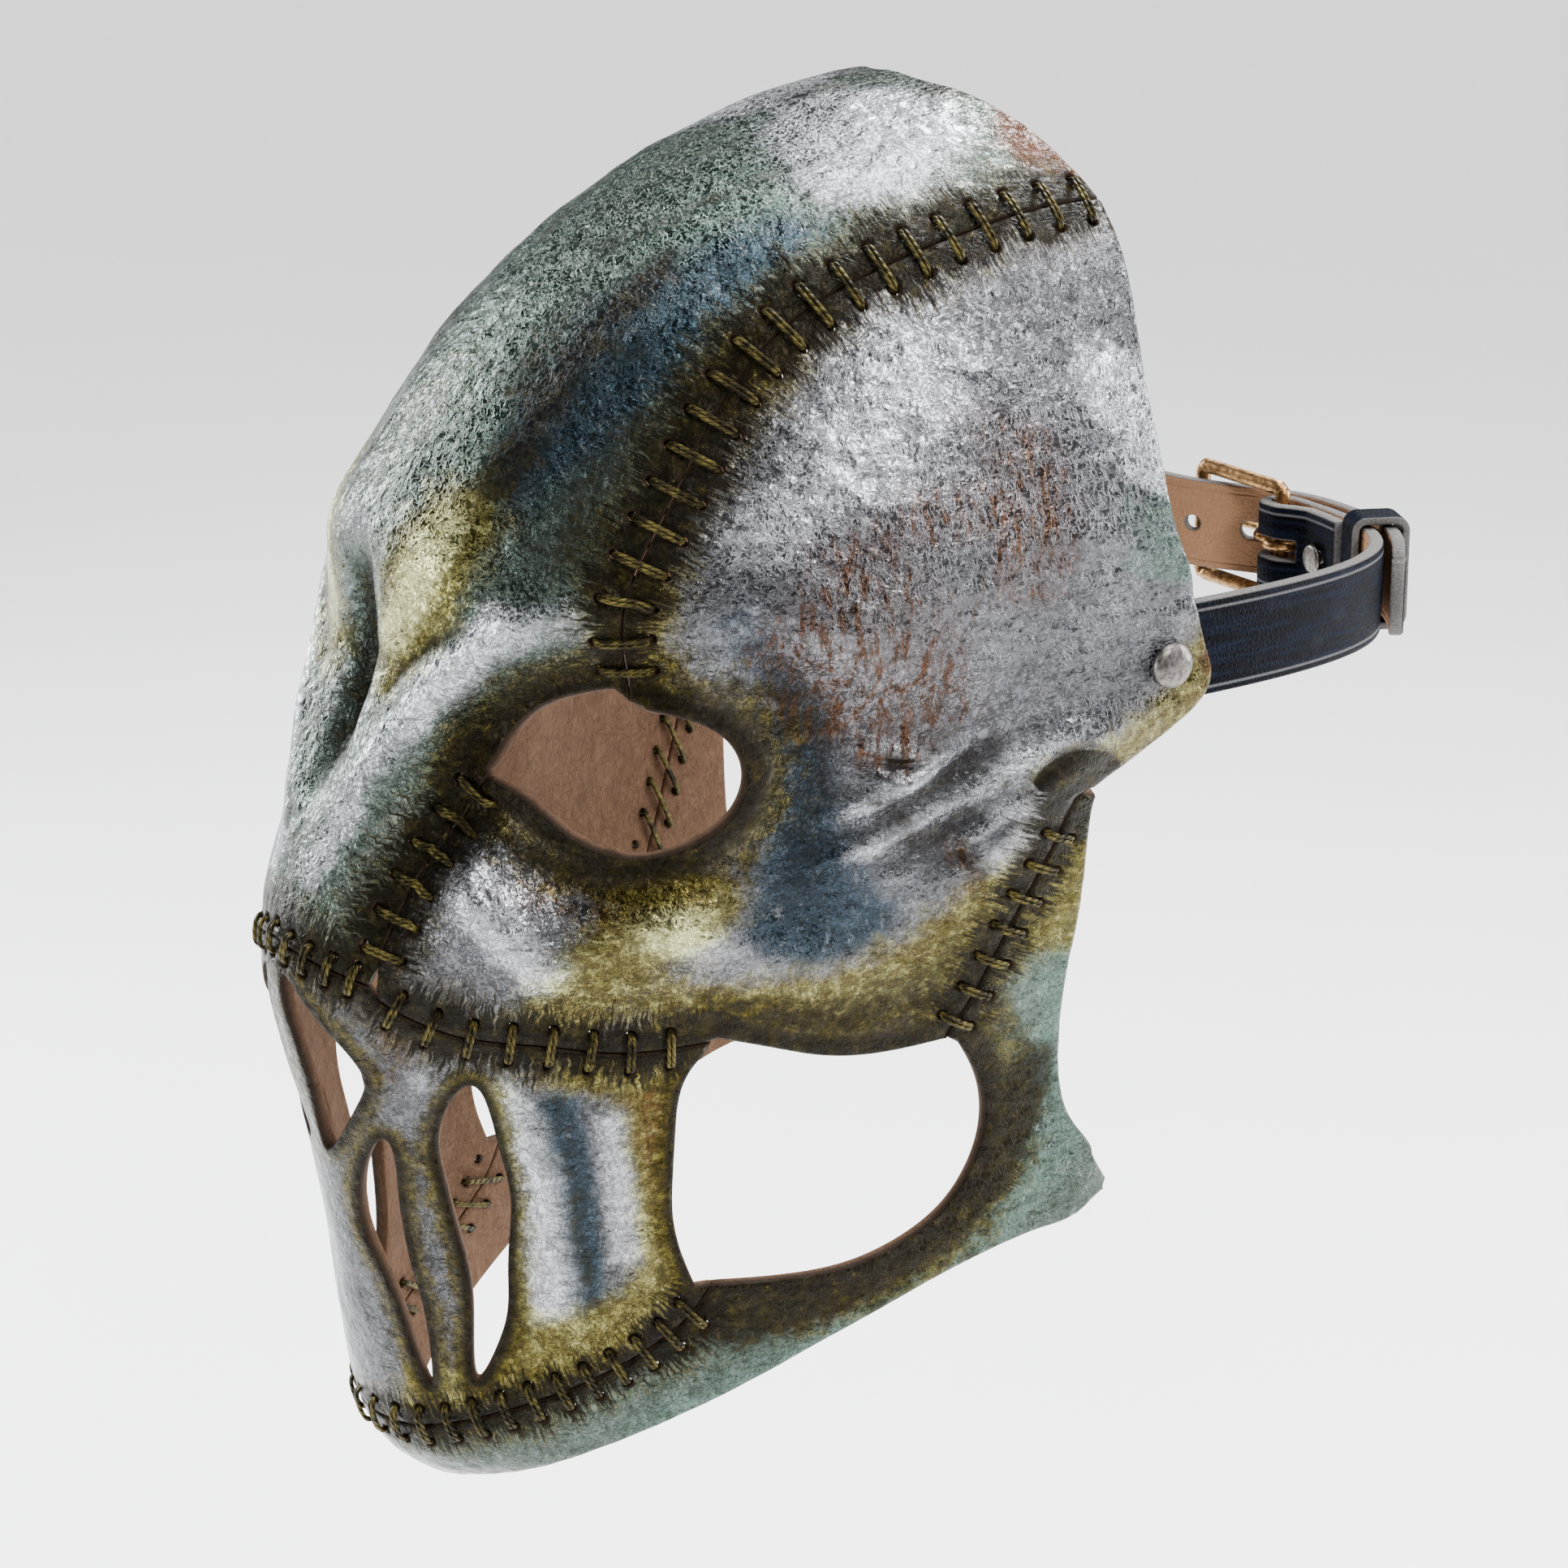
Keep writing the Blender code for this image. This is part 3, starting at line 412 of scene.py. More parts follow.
# Zones of colour on the pattern: the paint's pigments, and also painted highlights and painted shade
PAINT = {
    "gold": [
        [(9, 210, 0.9, 8), (13, 224, 1.2, 11), (16, 238, 1.0, 10)],
        [(38.5, 212, 0.7, 8), (37.5, 230, 0.8, 8)],
        [(36.5, 262, 0.4, 8), (35.5, 285, 0.9, 8), (35.5, 300, 0.5, 8)],
        [(44, 163, 1.1, 8), (40, 151, 0.9, 8), (37, 143, 0.9, 8)], [(48, 166, 0.8, 6)],
        [(47, 143, 0.8, 7), (53, 140, 1.0, 9), (60, 139, 1.1, 10), (67, 146, 1.1, 10), (73, 160, 1.0, 9)],
        [(78, 152, 0.9, 8), (78, 168, 0.7, 8)], [(43.5, 112, 0.9, 5), (43.5, 84, 0.9, 5)],
        [(32, 62, 0.9, 8)],
        [(87, 234, 0.9, 4), (86, 216, 0.9, 5), (84.5, 204, 1.0, 6), (80, 196, 0.8, 6), (75, 193, 0.3, 6)],
        [(14, 57, 0.9, 8), (30, 62, 0.9, 8), (41, 72, 0.9, 7)], [(27, 75, 0.8, 4), (27.5, 125, 0.8, 5)],
        [(42.5, 78, 0.8, 4), (42.5, 124, 0.8, 5)], [(36, 128, 0.7, 5), (44, 126, 0.7, 5)],
        [(2, 152, 0.6, 6), (14, 149, 0.5, 6)], [(0, 262, 0.25, 22)],
    ],
    "rust": [
        [(55, 244, 0.8, 9), (58, 222, 1.3, 11), (61, 205, 1.3, 10), (62, 197, 0.9, 6)], [(60, 262, 0.8, 10)],
        [(60, 294, 0.8, 8), (66, 268, 0.9, 6), (69, 238, 0.8, 6)], [(54, 205, 0.8, 6), (52, 222, 0.6, 6)],
        [(31, 169, 0.5, 5), (40, 166, 0.7, 6)],
        [(87, 226, 0.9, 3), (86, 208, 0.6, 3)], [(67, 62, 0.7, 7), (56, 54, 0.7, 6)],
        [(42, 120, 0.7, 4), (41.5, 100, 0.6, 4)], [(2, 358, 0.35, 8), (12, 357, 0.25, 6)],
        [(68, 175, 0.9, 1.8), (69, 165, 0.9, 1.8)], [(22, 138, 0.7, 7), (17, 128, 0.5, 6)],
        [(46, 300, 0.2, 12)], [(12, 376, 0.5, 8)],
    ],
    "green": [
        [(17, 255, 0.7, 12), (20, 285, 0.9, 16), (17, 318, 0.7, 14)], [(0, 330, 0.5, 30), (0, 280, 0.4, 26)],
        [(70, 325, 0.4, 10), (76, 285, 0.6, 9), (80, 250, 0.8, 7)],
        [(78, 150, 0.7, 6), (78, 130, 0.9, 7), (79, 105, 0.9, 8), (80, 85, 1.0, 9), (74, 62, 0.9, 9),
         (60, 44, 0.9, 9), (42, 38, 0.8, 9)],
        # a pale green painted highlight along the brow ridge and on the front teeth
        [(30, 224, 0.7, 4), (20, 212, 0.8, 4), (13, 196, 0.7, 4)], [(33, 118, 0.4, 5), (34, 76, 0.6, 5)],
    ],
    # steel blue painted shade: in the groove beside the eye, across the crown's middle, between the teeth
    # and by the cheek opening
    "blue": [
        [(47, 226, 0.5, 5), (52, 210, 0.9, 5), (54, 195, 1.0, 6), (55.5, 178, 1.0, 7), (57, 162, 1.0, 9)],
        [(57, 156, 0.8, 7), (61, 156, 0.4, 6)],
        [(25, 318, 0.7, 10), (23, 288, 1.2, 15), (22, 264, 1.1, 13), (21, 246, 0.7, 9)],
        [(34.5, 122, 1.1, 3.2), (34.5, 92, 1.2, 3.4), (34.5, 70, 0.9, 3.2)],
        [(70, 60, 0.4, 6), (72, 82, 0.4, 4)],
    ],
    # dark brown paint on the crown, by the seams and round the cheek opening; in the frown, under the eye,
    # in the temple's creases and between the teeth it is painted shade
    "dark": [
        [(47, 139, 0.5, 7), (53, 136, 0.6, 8), (60, 135, 0.6, 9), (67, 142, 0.6, 8), (72, 153, 0.5, 8)],
        [(0, 222, 0.7, 5), (0, 208, 1.0, 7), (0, 194, 0.6, 6)],
        [(29, 236, 0.6, 7), (30, 262, 0.5, 6), (31, 290, 0.3, 6)],
        [(76, 112, 0.8, 6), (74, 96, 1.1, 7), (71, 80, 1.1, 8), (66, 66, 1.1, 8), (57, 60, 1.1, 8),
         (48, 59, 1.0, 6)],
        [(20, 156, 0.8, 8), (22, 172, 0.6, 6)], [(26, 142, 0.9, 6)], [(62, 195.5, 0.9, 2.2)],
        [(69, 183, 0.4, 3), (72, 190, 0.5, 3)], [(24, 280, 0.35, 4)], [(36, 172, 0.5, 5)],
        [(34.5, 122, 0.5, 2.5), (34.5, 90, 0.6, 2.5), (34.5, 72, 0.4, 2.5)],
        [(19, 250, 0.8, 8), (17, 300, 0.7, 7)], [(8, 300, 0.5, 4), (14, 322, 0.6, 3), (17, 340, 0.3, 3)],
        [(2, 300, 0.3, 9), (4, 335, 0.45, 6)], [(12, 270, 0.5, 5), (10, 290, 0.4, 4)],
        [(62, 186, 0.6, 4), (66, 172, 0.5, 5)],
    ],
    "bare": [
        [(22, 384, 1.0, 6), (28, 380, 1.3, 8), (37, 375, 1.2, 6)],
    ],
    # painted highlights: the crown top, the rear rim, the brow, the temple, the cheeks, the teeth, the cheek
    # arch and the nose
    "bright": [
        [(16, 356, 1.3, 16), (22, 345, 1.1, 14)], [(8, 352, 0.7, 12)],
        [(62, 336, 0.9, 10), (70, 318, 1.1, 9), (74, 296, 0.8, 7)],
        [(9, 216, 0.8, 5), (13, 226, 0.8, 6), (15, 238, 0.6, 6)],
        [(46, 310, 0.5, 12), (50, 275, 0.7, 12), (46, 245, 0.6, 8)],
        [(30, 166, 0.9, 5), (33, 156, 0.6, 5)], [(46, 160, 0.7, 6)], [(18, 60, 0.4, 6)],
        [(29.5, 124, 0.9, 4), (30, 100, 1.0, 3.5), (30.5, 74, 0.8, 4)],
        [(38.5, 116, 0.7, 3), (38.5, 84, 0.7, 3)], [(72, 196, 0.8, 4), (70.5, 184, 0.7, 3.5)],
        [(24, 222, 0.8, 4), (15, 202, 0.8, 4)],
        [(66, 320, 0.8, 8)], [(6, 168, 0.6, 5), (10, 182, 0.6, 5)], [(22, 128, 0.4, 5)],
    ],
}
LUMP_SIZE = 14.0         # millimetres from one soft lump to the next
LUMP_HEIGHT = 0.45
CRUMPLE_SIZE = 4.0
CRUMPLE_HEIGHT = 0.16
FOLD_LINES = [stroke_line(stroke) for stroke in FOLDS.values()]
PAINT_LINES = {name: [stroke_line(stroke) for stroke in strokes] for name, strokes in PAINT.items()}


def lumps(turn, rise):
    """Soft unevenness of pressed leather, in millimetres, made of noise at two sizes."""
    heights = []
    for t, r in zip(turn * TURN_SCALE, rise):
        coarse = noise.noise(Vector((t / LUMP_SIZE, r / LUMP_SIZE, 3.1)))
        fine = noise.noise(Vector((t / CRUMPLE_SIZE, r / CRUMPLE_SIZE, 7.7)))
        heights.append(coarse * LUMP_HEIGHT + fine * CRUMPLE_HEIGHT)
    return np.array(heights)


print(len(FOLDS), "folds and", sum(len(s) for s in PAINT.values()), "paint strokes")

# %% [markdown]
# ## A piece of leather
#
# A cut piece is an outline with holes.  A constrained triangulation fills it with small, even
# triangles that follow every cut exactly, which a grid with Booleans would not.  The flat sheet is
# laid over its surface, given an outer and an inner face, and its edges are rounded by how far each
# point is from the cut, as an edge slicker does.  Each point also remembers its distance to the
# nearest seam and to the nearest opening, because the paint is rubbed back there.

# %% Points and triangles of a sheet
LEATHER_GRID = 1.35      # spacing of the points of the sheet
EDGE_POINTS = 1.0        # spacing of the points along a cut
EDGE_ROUND = 0.75        # radius of the slicked edge
EDGE_RINGS = (0.22, 0.62)


def closed_curve(points, step):
    """Points a step apart on a closed curve through the given ones."""
    points = np.asarray(points, float)
    wrapped = np.vstack([points[-3:], points, points[:4]])
    run = np.hypot(np.diff(wrapped[:, 0]) * TURN_SCALE, np.diff(wrapped[:, 1]))
    at = np.concatenate([[0], np.cumsum(run)])
    places = np.linspace(at[3], at[3 + len(points)], max(4, round((at[3 + len(points)] - at[3]) / step)) + 1)
    return np.stack([spline(at, wrapped[:, k])(places[:-1]) for k in (0, 1)], -1)


def inset(ring, distance):
    """A closed flat ring moved to both sides, with the points kept that are clear of the ring."""
    ahead = np.roll(ring, -1, 0) - np.roll(ring, 1, 0)
    side = np.stack([-ahead[:, 1], ahead[:, 0]], -1) / np.linalg.norm(ahead, axis=1, keepdims=True)
    points = np.vstack([ring + side * distance, ring - side * distance])
    tree = tree_of(ring)
    return np.array([p for p in points if tree.find((*p, 0))[2] > distance * 0.9])


def tree_of(points):
    tree = kdtree.KDTree(len(points))
    for index, point in enumerate(points):
        tree.insert((*point, 0) if len(point) == 2 else point, index)
    tree.balance()
    return tree


def staggered(rings, grid):
    """Inner points in a staggered pattern with a little jitter, clear of every cut."""
    edge = np.vstack(rings)
    low, high = edge.min(0), edge.max(0)
    rows = []
    for row, y in enumerate(np.arange(low[1] + grid / 2, high[1], grid * 0.87)):
        x = np.arange(low[0] + grid * (0.25 + 0.5 * (row % 2)), high[0], grid)
        rows.append(np.stack([x, np.full_like(x, y)], -1))
    points = np.vstack(rows)
    points += np.random.default_rng(11).uniform(-0.12, 0.12, points.shape) * grid
    tree = tree_of(edge)
    return points[[tree.find((*p, 0))[2] > grid * 0.7 for p in points]]


def triangulate(rings, inner):
    """Triangles of a flat outline with holes: the first ring is the outline."""
    points, loops = [], []
    for ring in rings:
        loops.append(list(range(len(points), len(points) + len(ring))))
        points += [Vector(p) for p in ring]
    points += [Vector(p) for p in inner]
    inside_with_holes = 2
    flat, _, faces, *_ = delaunay_2d_cdt(points, [], loops, inside_with_holes, 1e-5)
    faces = np.array([face for face in faces if len(face) == 3])
    used, places = np.unique(faces, return_inverse=True)
    return np.array([flat[i] for i in used]), places.reshape(-1, 3)


def sheet_normals(points, faces):
    a, b, c = (points[faces[:, k]] for k in range(3))
    across = np.cross(b - a, c - a)
    normals = np.zeros_like(points)
    for corner in range(3):
        np.add.at(normals, faces[:, corner], across)
    return normals / np.maximum(np.linalg.norm(normals, axis=1, keepdims=True), 1e-9)


def open_edges(faces):
    """Directed edges that only one triangle has, which are the cuts."""
    edges = np.vstack([faces[:, (0, 1)], faces[:, (1, 2)], faces[:, (2, 0)]])
    known = set(map(tuple, edges))
    return np.array([(a, b) for a, b in edges if (b, a) not in known])


print("points", LEATHER_GRID, "mm apart inside a sheet and", EDGE_POINTS, "mm apart along a cut")


# %% Leather sheets
def rounding(distance, radius):
    """How far a slicked edge drops at a distance from the cut."""
    into = np.clip(radius - distance, 0, radius)
    return radius - np.sqrt(radius ** 2 - into ** 2)


def mesh_piece(name, points, faces, shader):
    mesh = bpy.data.meshes.new(name)
    mesh.from_pydata((np.asarray(points, float) * METRES).tolist(), [], [list(map(int, f)) for f in faces])
    mesh.materials.append(shader)
    mesh.shade_smooth()
    piece = bpy.data.objects.new(name, mesh)
    bpy.context.scene.collection.objects.link(piece)
    return piece


def store(piece, name, values):
    """Keep a number for each point of a piece, for its material to read."""
    values = np.asarray(values, np.float32)
    piece.data.attributes.new(name, "FLOAT", "POINT").data.foreach_set("value", values)


def leather_sheet(name, rings, surface, faces_at, grid, shader, flip=False, facts=None):
    """A closed piece of leather from flat rings.  surface places flat points in space; faces_at holds
    the heights of its outer and inner faces; facts gives values to store for each flat point."""
    outer, inner = faces_at
    extra = [inset(ring, distance) for ring in rings for distance in EDGE_RINGS]
    extra = [points for points in extra if len(points)]
    flat, faces = triangulate(rings, np.vstack(extra + [staggered(rings, grid)]))
    points, lift = surface(flat)
    if flip:
        faces = faces[:, ::-1]
    normals = sheet_normals(points, faces)
    edges = open_edges(faces)
    cut = tree_of(points[edges[:, 0]])
    distance = np.array([cut.find(p)[2] for p in points])
    top = points + normals * (outer + lift - rounding(distance, EDGE_ROUND))[:, None]
    bottom = points + normals * (inner + rounding(distance, EDGE_ROUND * 0.6))[:, None]
    count = len(points)
    rim = [(b, a, a + count, b + count) for a, b in edges]
    quads = [*faces.tolist(), *(faces[:, ::-1] + count).tolist(), *rim]
    piece = mesh_piece(name, np.vstack([top, bottom]), quads, shader)
    store(piece, "cut", np.tile(distance, 2))
    store(piece, "inner_face", np.repeat([0.0, 1.0], count))
    for key, values in (facts(flat, points) if facts else {}).items():
        store(piece, key, np.tile(values, 2))
    print(name, len(quads), "faces")
    return piece

# %% [markdown]
# ## Node materials
#
# Every finish here is worked out by nodes from the piece's own coordinates or from values stored on
# its points, so nothing slides when a piece moves or when the camera goes round.  A number that nodes
# work out is kept as a Value, which adds the nodes itself when it is added to or multiplied, so a
# finish reads like ordinary arithmetic.

# %% Node helpers
def connect(node, inputs):
    """Link each input to the socket or Value that it is given, or set it to a plain value."""
    for key, value in inputs.items():
        value = getattr(value, "socket", value)
        if isinstance(value, bpy.types.NodeSocket):
            node.id_data.links.new(value, node.inputs[key])
        else:
            node.inputs[key].default_value = value


def add(tree, kind, inputs=None, **settings):
    """A new node with its settings and inputs."""
    node = tree.nodes.new(kind)
    for key, value in settings.items():
        setattr(node, key, value)
    connect(node, inputs or {})
    return node


class Value:
    """A number worked out by nodes."""

    def __init__(self, socket):
        self.socket = socket

    def maths(self, operation, other=0.0):
        node = add(self.socket.id_data, "ShaderNodeMath", {0: self, 1: other}, operation=operation)
        return Value(node.outputs[0])

    def __add__(self, other):
        return self.maths("ADD", other)

    def __sub__(self, other):
        return self.maths("SUBTRACT", other)

    def __rsub__(self, other):
        return self * -1.0 + other

    def __mul__(self, other):
        return self.maths("MULTIPLY", other)

    def __abs__(self):
        return self.maths("ABSOLUTE")


def greatest(first, *others):
    for other in others:
        first = first.maths("MAXIMUM", other)
    return first


def clamped(value):
    """The same sum or product, kept between 0 and 1."""
    value.socket.node.use_clamp = True
    return value


def stored(tree, name):
    return Value(add(tree, "ShaderNodeAttribute", attribute_name=name).outputs["Fac"])


def step_up(value, low, high):
    """0 below low, 1 above high and smooth between; low may be the larger one."""
    inputs = {"Value": value, "From Min": low, "From Max": high}
    node = add(value.socket.id_data, "ShaderNodeMapRange", inputs, interpolation_type="SMOOTHSTEP")
    return Value(node.outputs["Result"])


def blend(share, under, over):
    """One colour over another; each is a socket or three numbers."""
    inputs = {0: share}
    for key, colour in ((6, under), (7, over)):
        inputs[key] = colour if isinstance(colour, bpy.types.NodeSocket) else (*colour, 1)
    return add(share.socket.id_data, "ShaderNodeMix", inputs, data_type="RGBA").outputs[2]


def place_of(tree, scale=(1, 1, 1), turn=(0, 0, 0)):
    """The piece's own coordinates in millimetres, stretched and turned."""
    place = add(tree, "ShaderNodeTexCoord").outputs["Object"]
    inputs = {"Vector": place, "Scale": [s / METRES for s in scale], "Rotation": turn}
    return add(tree, "ShaderNodeMapping", inputs).outputs["Vector"]


def place_from(x, y, z=0.0):
    return add(x.socket.id_data, "ShaderNodeCombineXYZ", {"X": x, "Y": y, "Z": z}).outputs["Vector"]


def grain(place, scale, detail=2.0, rough=0.5, twist=0.0):
    """Noise between about 0 and 1; scale is in cycles for a millimetre."""
    inputs = {"Vector": place, "Scale": scale, "Detail": detail, "Roughness": rough, "Distortion": twist}
    return Value(add(place.id_data, "ShaderNodeTexNoise", inputs).outputs["Fac"])


def cell_walls(place, scale):
    """How far each place is from the walls between random cells."""
    inputs = {"Vector": place, "Scale": scale}
    node = add(place.id_data, "ShaderNodeTexVoronoi", inputs, feature="DISTANCE_TO_EDGE")
    return Value(node.outputs["Distance"])


def node_material(name):
    shader = bpy.data.materials.new(name)
    shader.use_nodes = True
    return shader, shader.node_tree


def finished(shader, colour, metallic, roughness, height, depth, specular=0.5):
    """The material with its looks joined up; depth is the height of its bumps in millimetres."""
    tree = shader.node_tree
    bump = add(tree, "ShaderNodeBump", {"Height": height, "Distance": depth * METRES, "Strength": 1.0})
    connect(tree.nodes["Principled BSDF"], {
        "Base Color": colour, "Metallic": metallic, "Roughness": roughness,
        "Specular IOR Level": specular, "Normal": bump.outputs["Normal"]})
    print(shader.name, len(tree.nodes), "nodes")
    return shader


# %% [markdown]
# ## Painted leather
#
# The paint is a metallic silver over dark brown, tinted by zones: green-grey on the crown and jaw,
# gold round the eye and under the cheek, and rust where it has been scratched through.  Painted
# highlights in white lie on the temple, the crown and every ridge, and painted shade lies in the
# hollows, steel blue in some and dark brown in others.  Along the seams a stiff brush has dragged dark
# brown across it, so the edge of the dark is a row of bristle marks.  Round the openings it is rubbed
# back unevenly, and at the top rear corners it is worn off to raw leather.  Wax is left in crumbs on
# the grain and its creases are darkened as painted shade, which is what makes it look old.

# %% Pigments, and the colours of the painted highlights and shade
SILVER = (0.130, 0.132, 0.146)
PEWTER = (0.095, 0.097, 0.104)
SAGE = (0.070, 0.095, 0.080)
# the white of the painted highlights and the painted glints
HIGHLIGHT_WHITE = (0.44, 0.45, 0.48)
# the steel blue of the painted shade
GREEN = (0.070, 0.115, 0.095)
BLUE = (0.020, 0.036, 0.052)
GOLD = (0.085, 0.066, 0.008)
# gold in pale flecks, and gold under a painted highlight
PALE_GOLD = (0.50, 0.50, 0.19)
RUST = (0.060, 0.024, 0.009)
RAW = (0.105, 0.030, 0.010)
# dark brown, also the colour of the painted shade in hollows
BURNT = (0.004, 0.0025, 0.0015)
OLIVE = (0.017, 0.013, 0.003)
SLICKED_EDGE = (0.020, 0.012, 0.007)
FLESH_DARK = (0.060, 0.030, 0.016)
FLESH_PALE = (0.12, 0.066, 0.036)


def dimmed(colour, share):
    return [channel * share for channel in colour]


print("dark brown is", round(SILVER[0] / BURNT[0]), "times darker than the silver")


# %% Creases and worn edges
def creases(place, scale, width):
    """0 in thin winding creases and 1 between them."""
    winding = grain(place, scale, 3.0, 0.62, twist=0.8)
    return step_up(abs(winding - 0.5), 0.0, width)


def leather_height(tree):
    """The height of the grain, and the wrinkles, creases and fibre that it is made of."""
    place = place_of(tree)
    wrinkle = creases(place_of(tree, (1.0, 1.0, 0.55), (0.5, 0.3, 0)), 0.75, 0.05)
    crease = creases(place, 0.20, 0.022)
    fibre = grain(place_of(tree, (1.0, 0.6, 1.0), (0, 0.6, 0.4)), 1.3, 4.0, 0.7)
    dents = grain(place_of(tree, (1.0, 0.5, 1.0)), 0.40)
    swell = grain(place, 0.16, 3.0, 0.55) + dents * 0.60
    return wrinkle * 0.09 + crease * 0.12 + fibre * 0.11 + swell, wrinkle, crease, fibre


def worn_edge(away, wear, width, spread):
    """1 near a line and 0 far from it, with an edge that the wear noise breaks up."""
    reach = (wear - 0.5) * (spread * 4.0) + width
    return step_up(away - reach, spread * 0.7, -spread * 0.7)


def bristle_edge(along, away, width, spread):
    """1 near a line and 0 far from it, with an edge of bristle marks that run across the line."""
    marks = grain(place_from(along, away * 0.07), 1.5, 3.0, 0.7) - 0.5
    slow = grain(place_from(along, 0.0, 5.0), 0.10) - 0.5
    reach = marks * (spread * 3.6) + width + slow * (spread * 1.6)
    return step_up(away - reach, spread * 0.24, -spread * 0.24)


# %% Painted leather
def painted_leather(name, base, seam_width, rim_width):
    shader, tree = node_material(name)
    height, wrinkle, crease, fibre = leather_height(tree)
    cloud = grain(place_of(tree), 0.055, 4.0, 0.6)
    patchy = grain(place_of(tree), 0.28, 5.0, 0.72)
    mottle = grain(place_of(tree, (1.0, 0.7, 1.0)), 0.42, 6.0, 0.80)
    glints = step_up(grain(place_of(tree, (1.0, 1.0, 0.6)), 0.45, 6.0, 0.82), 0.53, 0.68)
    hair = grain(place_of(tree, (1.0, 1.0, 0.22), (0.25, 0.2, 0)), 0.55, 5.0, 0.8)
    scratch = grain(place_of(tree, (0.10, 0.8, 0.8), (0, 0.5, 0.35)), 1.0, 4.0, 0.75)
    ragged = (patchy - 0.5) * 1.1
    zones = {paint: step_up(stored(tree, paint) + ragged, 0.12, 0.80) for paint in PAINT}
    ridge, rim_away = stored(tree, "ridge"), stored(tree, "rim_away")
    along, away = stored(tree, "seam_along"), stored(tree, "seam_away")
    edge, flesh = step_up(stored(tree, "cut"), 0.55, 0.12), stored(tree, "inner_face")

    # The coats of paint, with painted highlights and painted shade among them
    colour = blend(step_up(cloud, 0.35, 0.68), base, dimmed(base, 0.62))
    # green-grey paint, with pale green painted highlights on the brow ridge and the front teeth
    colour = blend(zones["green"] * 0.75, colour, GREEN)
    # steel blue painted shade
    colour = blend(zones["blue"] * 0.88, colour, BLUE)
    # painted highlights: the highlight zones and every ridge are lightened towards white, with scattered
    # painted glints
    bright = clamped(zones["bright"] * 0.8 + step_up(ridge, 0.05, 0.9) * 0.70)
    colour = blend(bright, colour, HIGHLIGHT_WHITE)
    colour = blend(glints * 0.20, colour, HIGHLIGHT_WHITE)
    # the gold turns pale in random flecks and under the painted highlights
    pale = clamped(step_up(mottle, 0.48, 0.66) * 0.35 + bright)
    colour = blend(zones["gold"] * 0.85, colour, blend(pale, GOLD, PALE_GOLD))
    rusty = clamped(zones["rust"] * (step_up(hair, 0.45, 0.64) + 0.20))
    colour = blend(rusty * 0.9, colour, RUST)
    colour = blend(zones["bare"], colour, RAW)

    # A tarnished band, and inside it the dark brown, along seams and round openings; the same dark brown is
    # painted shade in the hollows
    tarnished = blend(step_up(mottle, 0.40, 0.66), OLIVE, GOLD)
    rim_halo = worn_edge(rim_away, patchy, rim_width * 2.2, rim_width * 0.9)
    colour = blend(rim_halo * 0.80, colour, tarnished)
    seam_halo = bristle_edge(along, away, seam_width + 3.0, 6.0)
    colour = blend(seam_halo * 0.45, colour, tarnished)
    seam_dark = bristle_edge(along, away, seam_width, 7.0)
    rim_dark = worn_edge(rim_away, (mottle + patchy) * 0.5, rim_width, rim_width * 0.7)
    # painted shade: places lower than their surroundings are darkened to dark brown
    hollow = step_up(ridge, -0.05, -0.95) * 0.75
    dark = greatest(zones["dark"] * 0.92, hollow, seam_dark, rim_dark)
    dark_brown_and_shade = blend(step_up(patchy, 0.48, 0.66), BURNT, OLIVE)
    dark_brown_and_shade = blend(step_up(mottle, 0.58, 0.70) * 0.6, dark_brown_and_shade, GOLD)
    colour = blend(dark * 0.95, colour, dark_brown_and_shade)

    # Wax crumbs, painted shade in the creases of the grain, scratches, the slicked edge and the bare inner
    # face
    crumbs = step_up(mottle * 0.6 + fibre * 0.4, 0.53, 0.38) * 0.66
    # painted shade: the creases and wrinkles of the grain are darkened
    filled = greatest(step_up(wrinkle, 0.6, 0.0), step_up(crease, 0.7, 0.0))
    wax = greatest(crumbs, filled * 0.50)
    colour = blend(wax, colour, dimmed(OLIVE, 0.5))
    colour = blend(step_up(scratch, 0.60, 0.72) * 0.55, colour, BURNT)
    colour = blend(edge, colour, SLICKED_EDGE)
    colour = blend(flesh, colour, blend(patchy, FLESH_DARK, FLESH_PALE))

    metal = (0.97 - dark * 0.40) * (1.0 - greatest(edge, flesh, zones["bare"]))
    rough = cloud * 0.10 + 0.16 + wax * 0.14 + dark * 0.10 + greatest(flesh, edge) * 0.45
    return finished(shader, colour, metal, rough, height, 1.0, 0.10)


# %% [markdown]
# ## The five panels
#
# The pattern has the same seams and outlines as the solid model, drawn with many more points and with
# round holes.  The wearer's right side is the left one mirrored in the pattern, so its folds match but
# its grain doesn't.

# %% Pattern pieces
HOLE_RADIUS = 0.90       # holes for the thread
HOLE_SIDES = 12


def seam_edge(name, distance):
    line = beside(smooth(SEAMS[name][0], EDGE_POINTS), distance)
    if SEAMS[name][0][0][0] == 0:
        line[0, 0] = 0
    return line


def punched(name, side):
    return [ring_around(spot, HOLE_RADIUS, HOLE_SIDES) for spot in stitch_holes(name)[side]]


def both(half):
    return np.vstack([half, mirrored(half)[1:-1]])


def both_holes(holes):
    return holes + [mirrored(hole) for hole in holes]


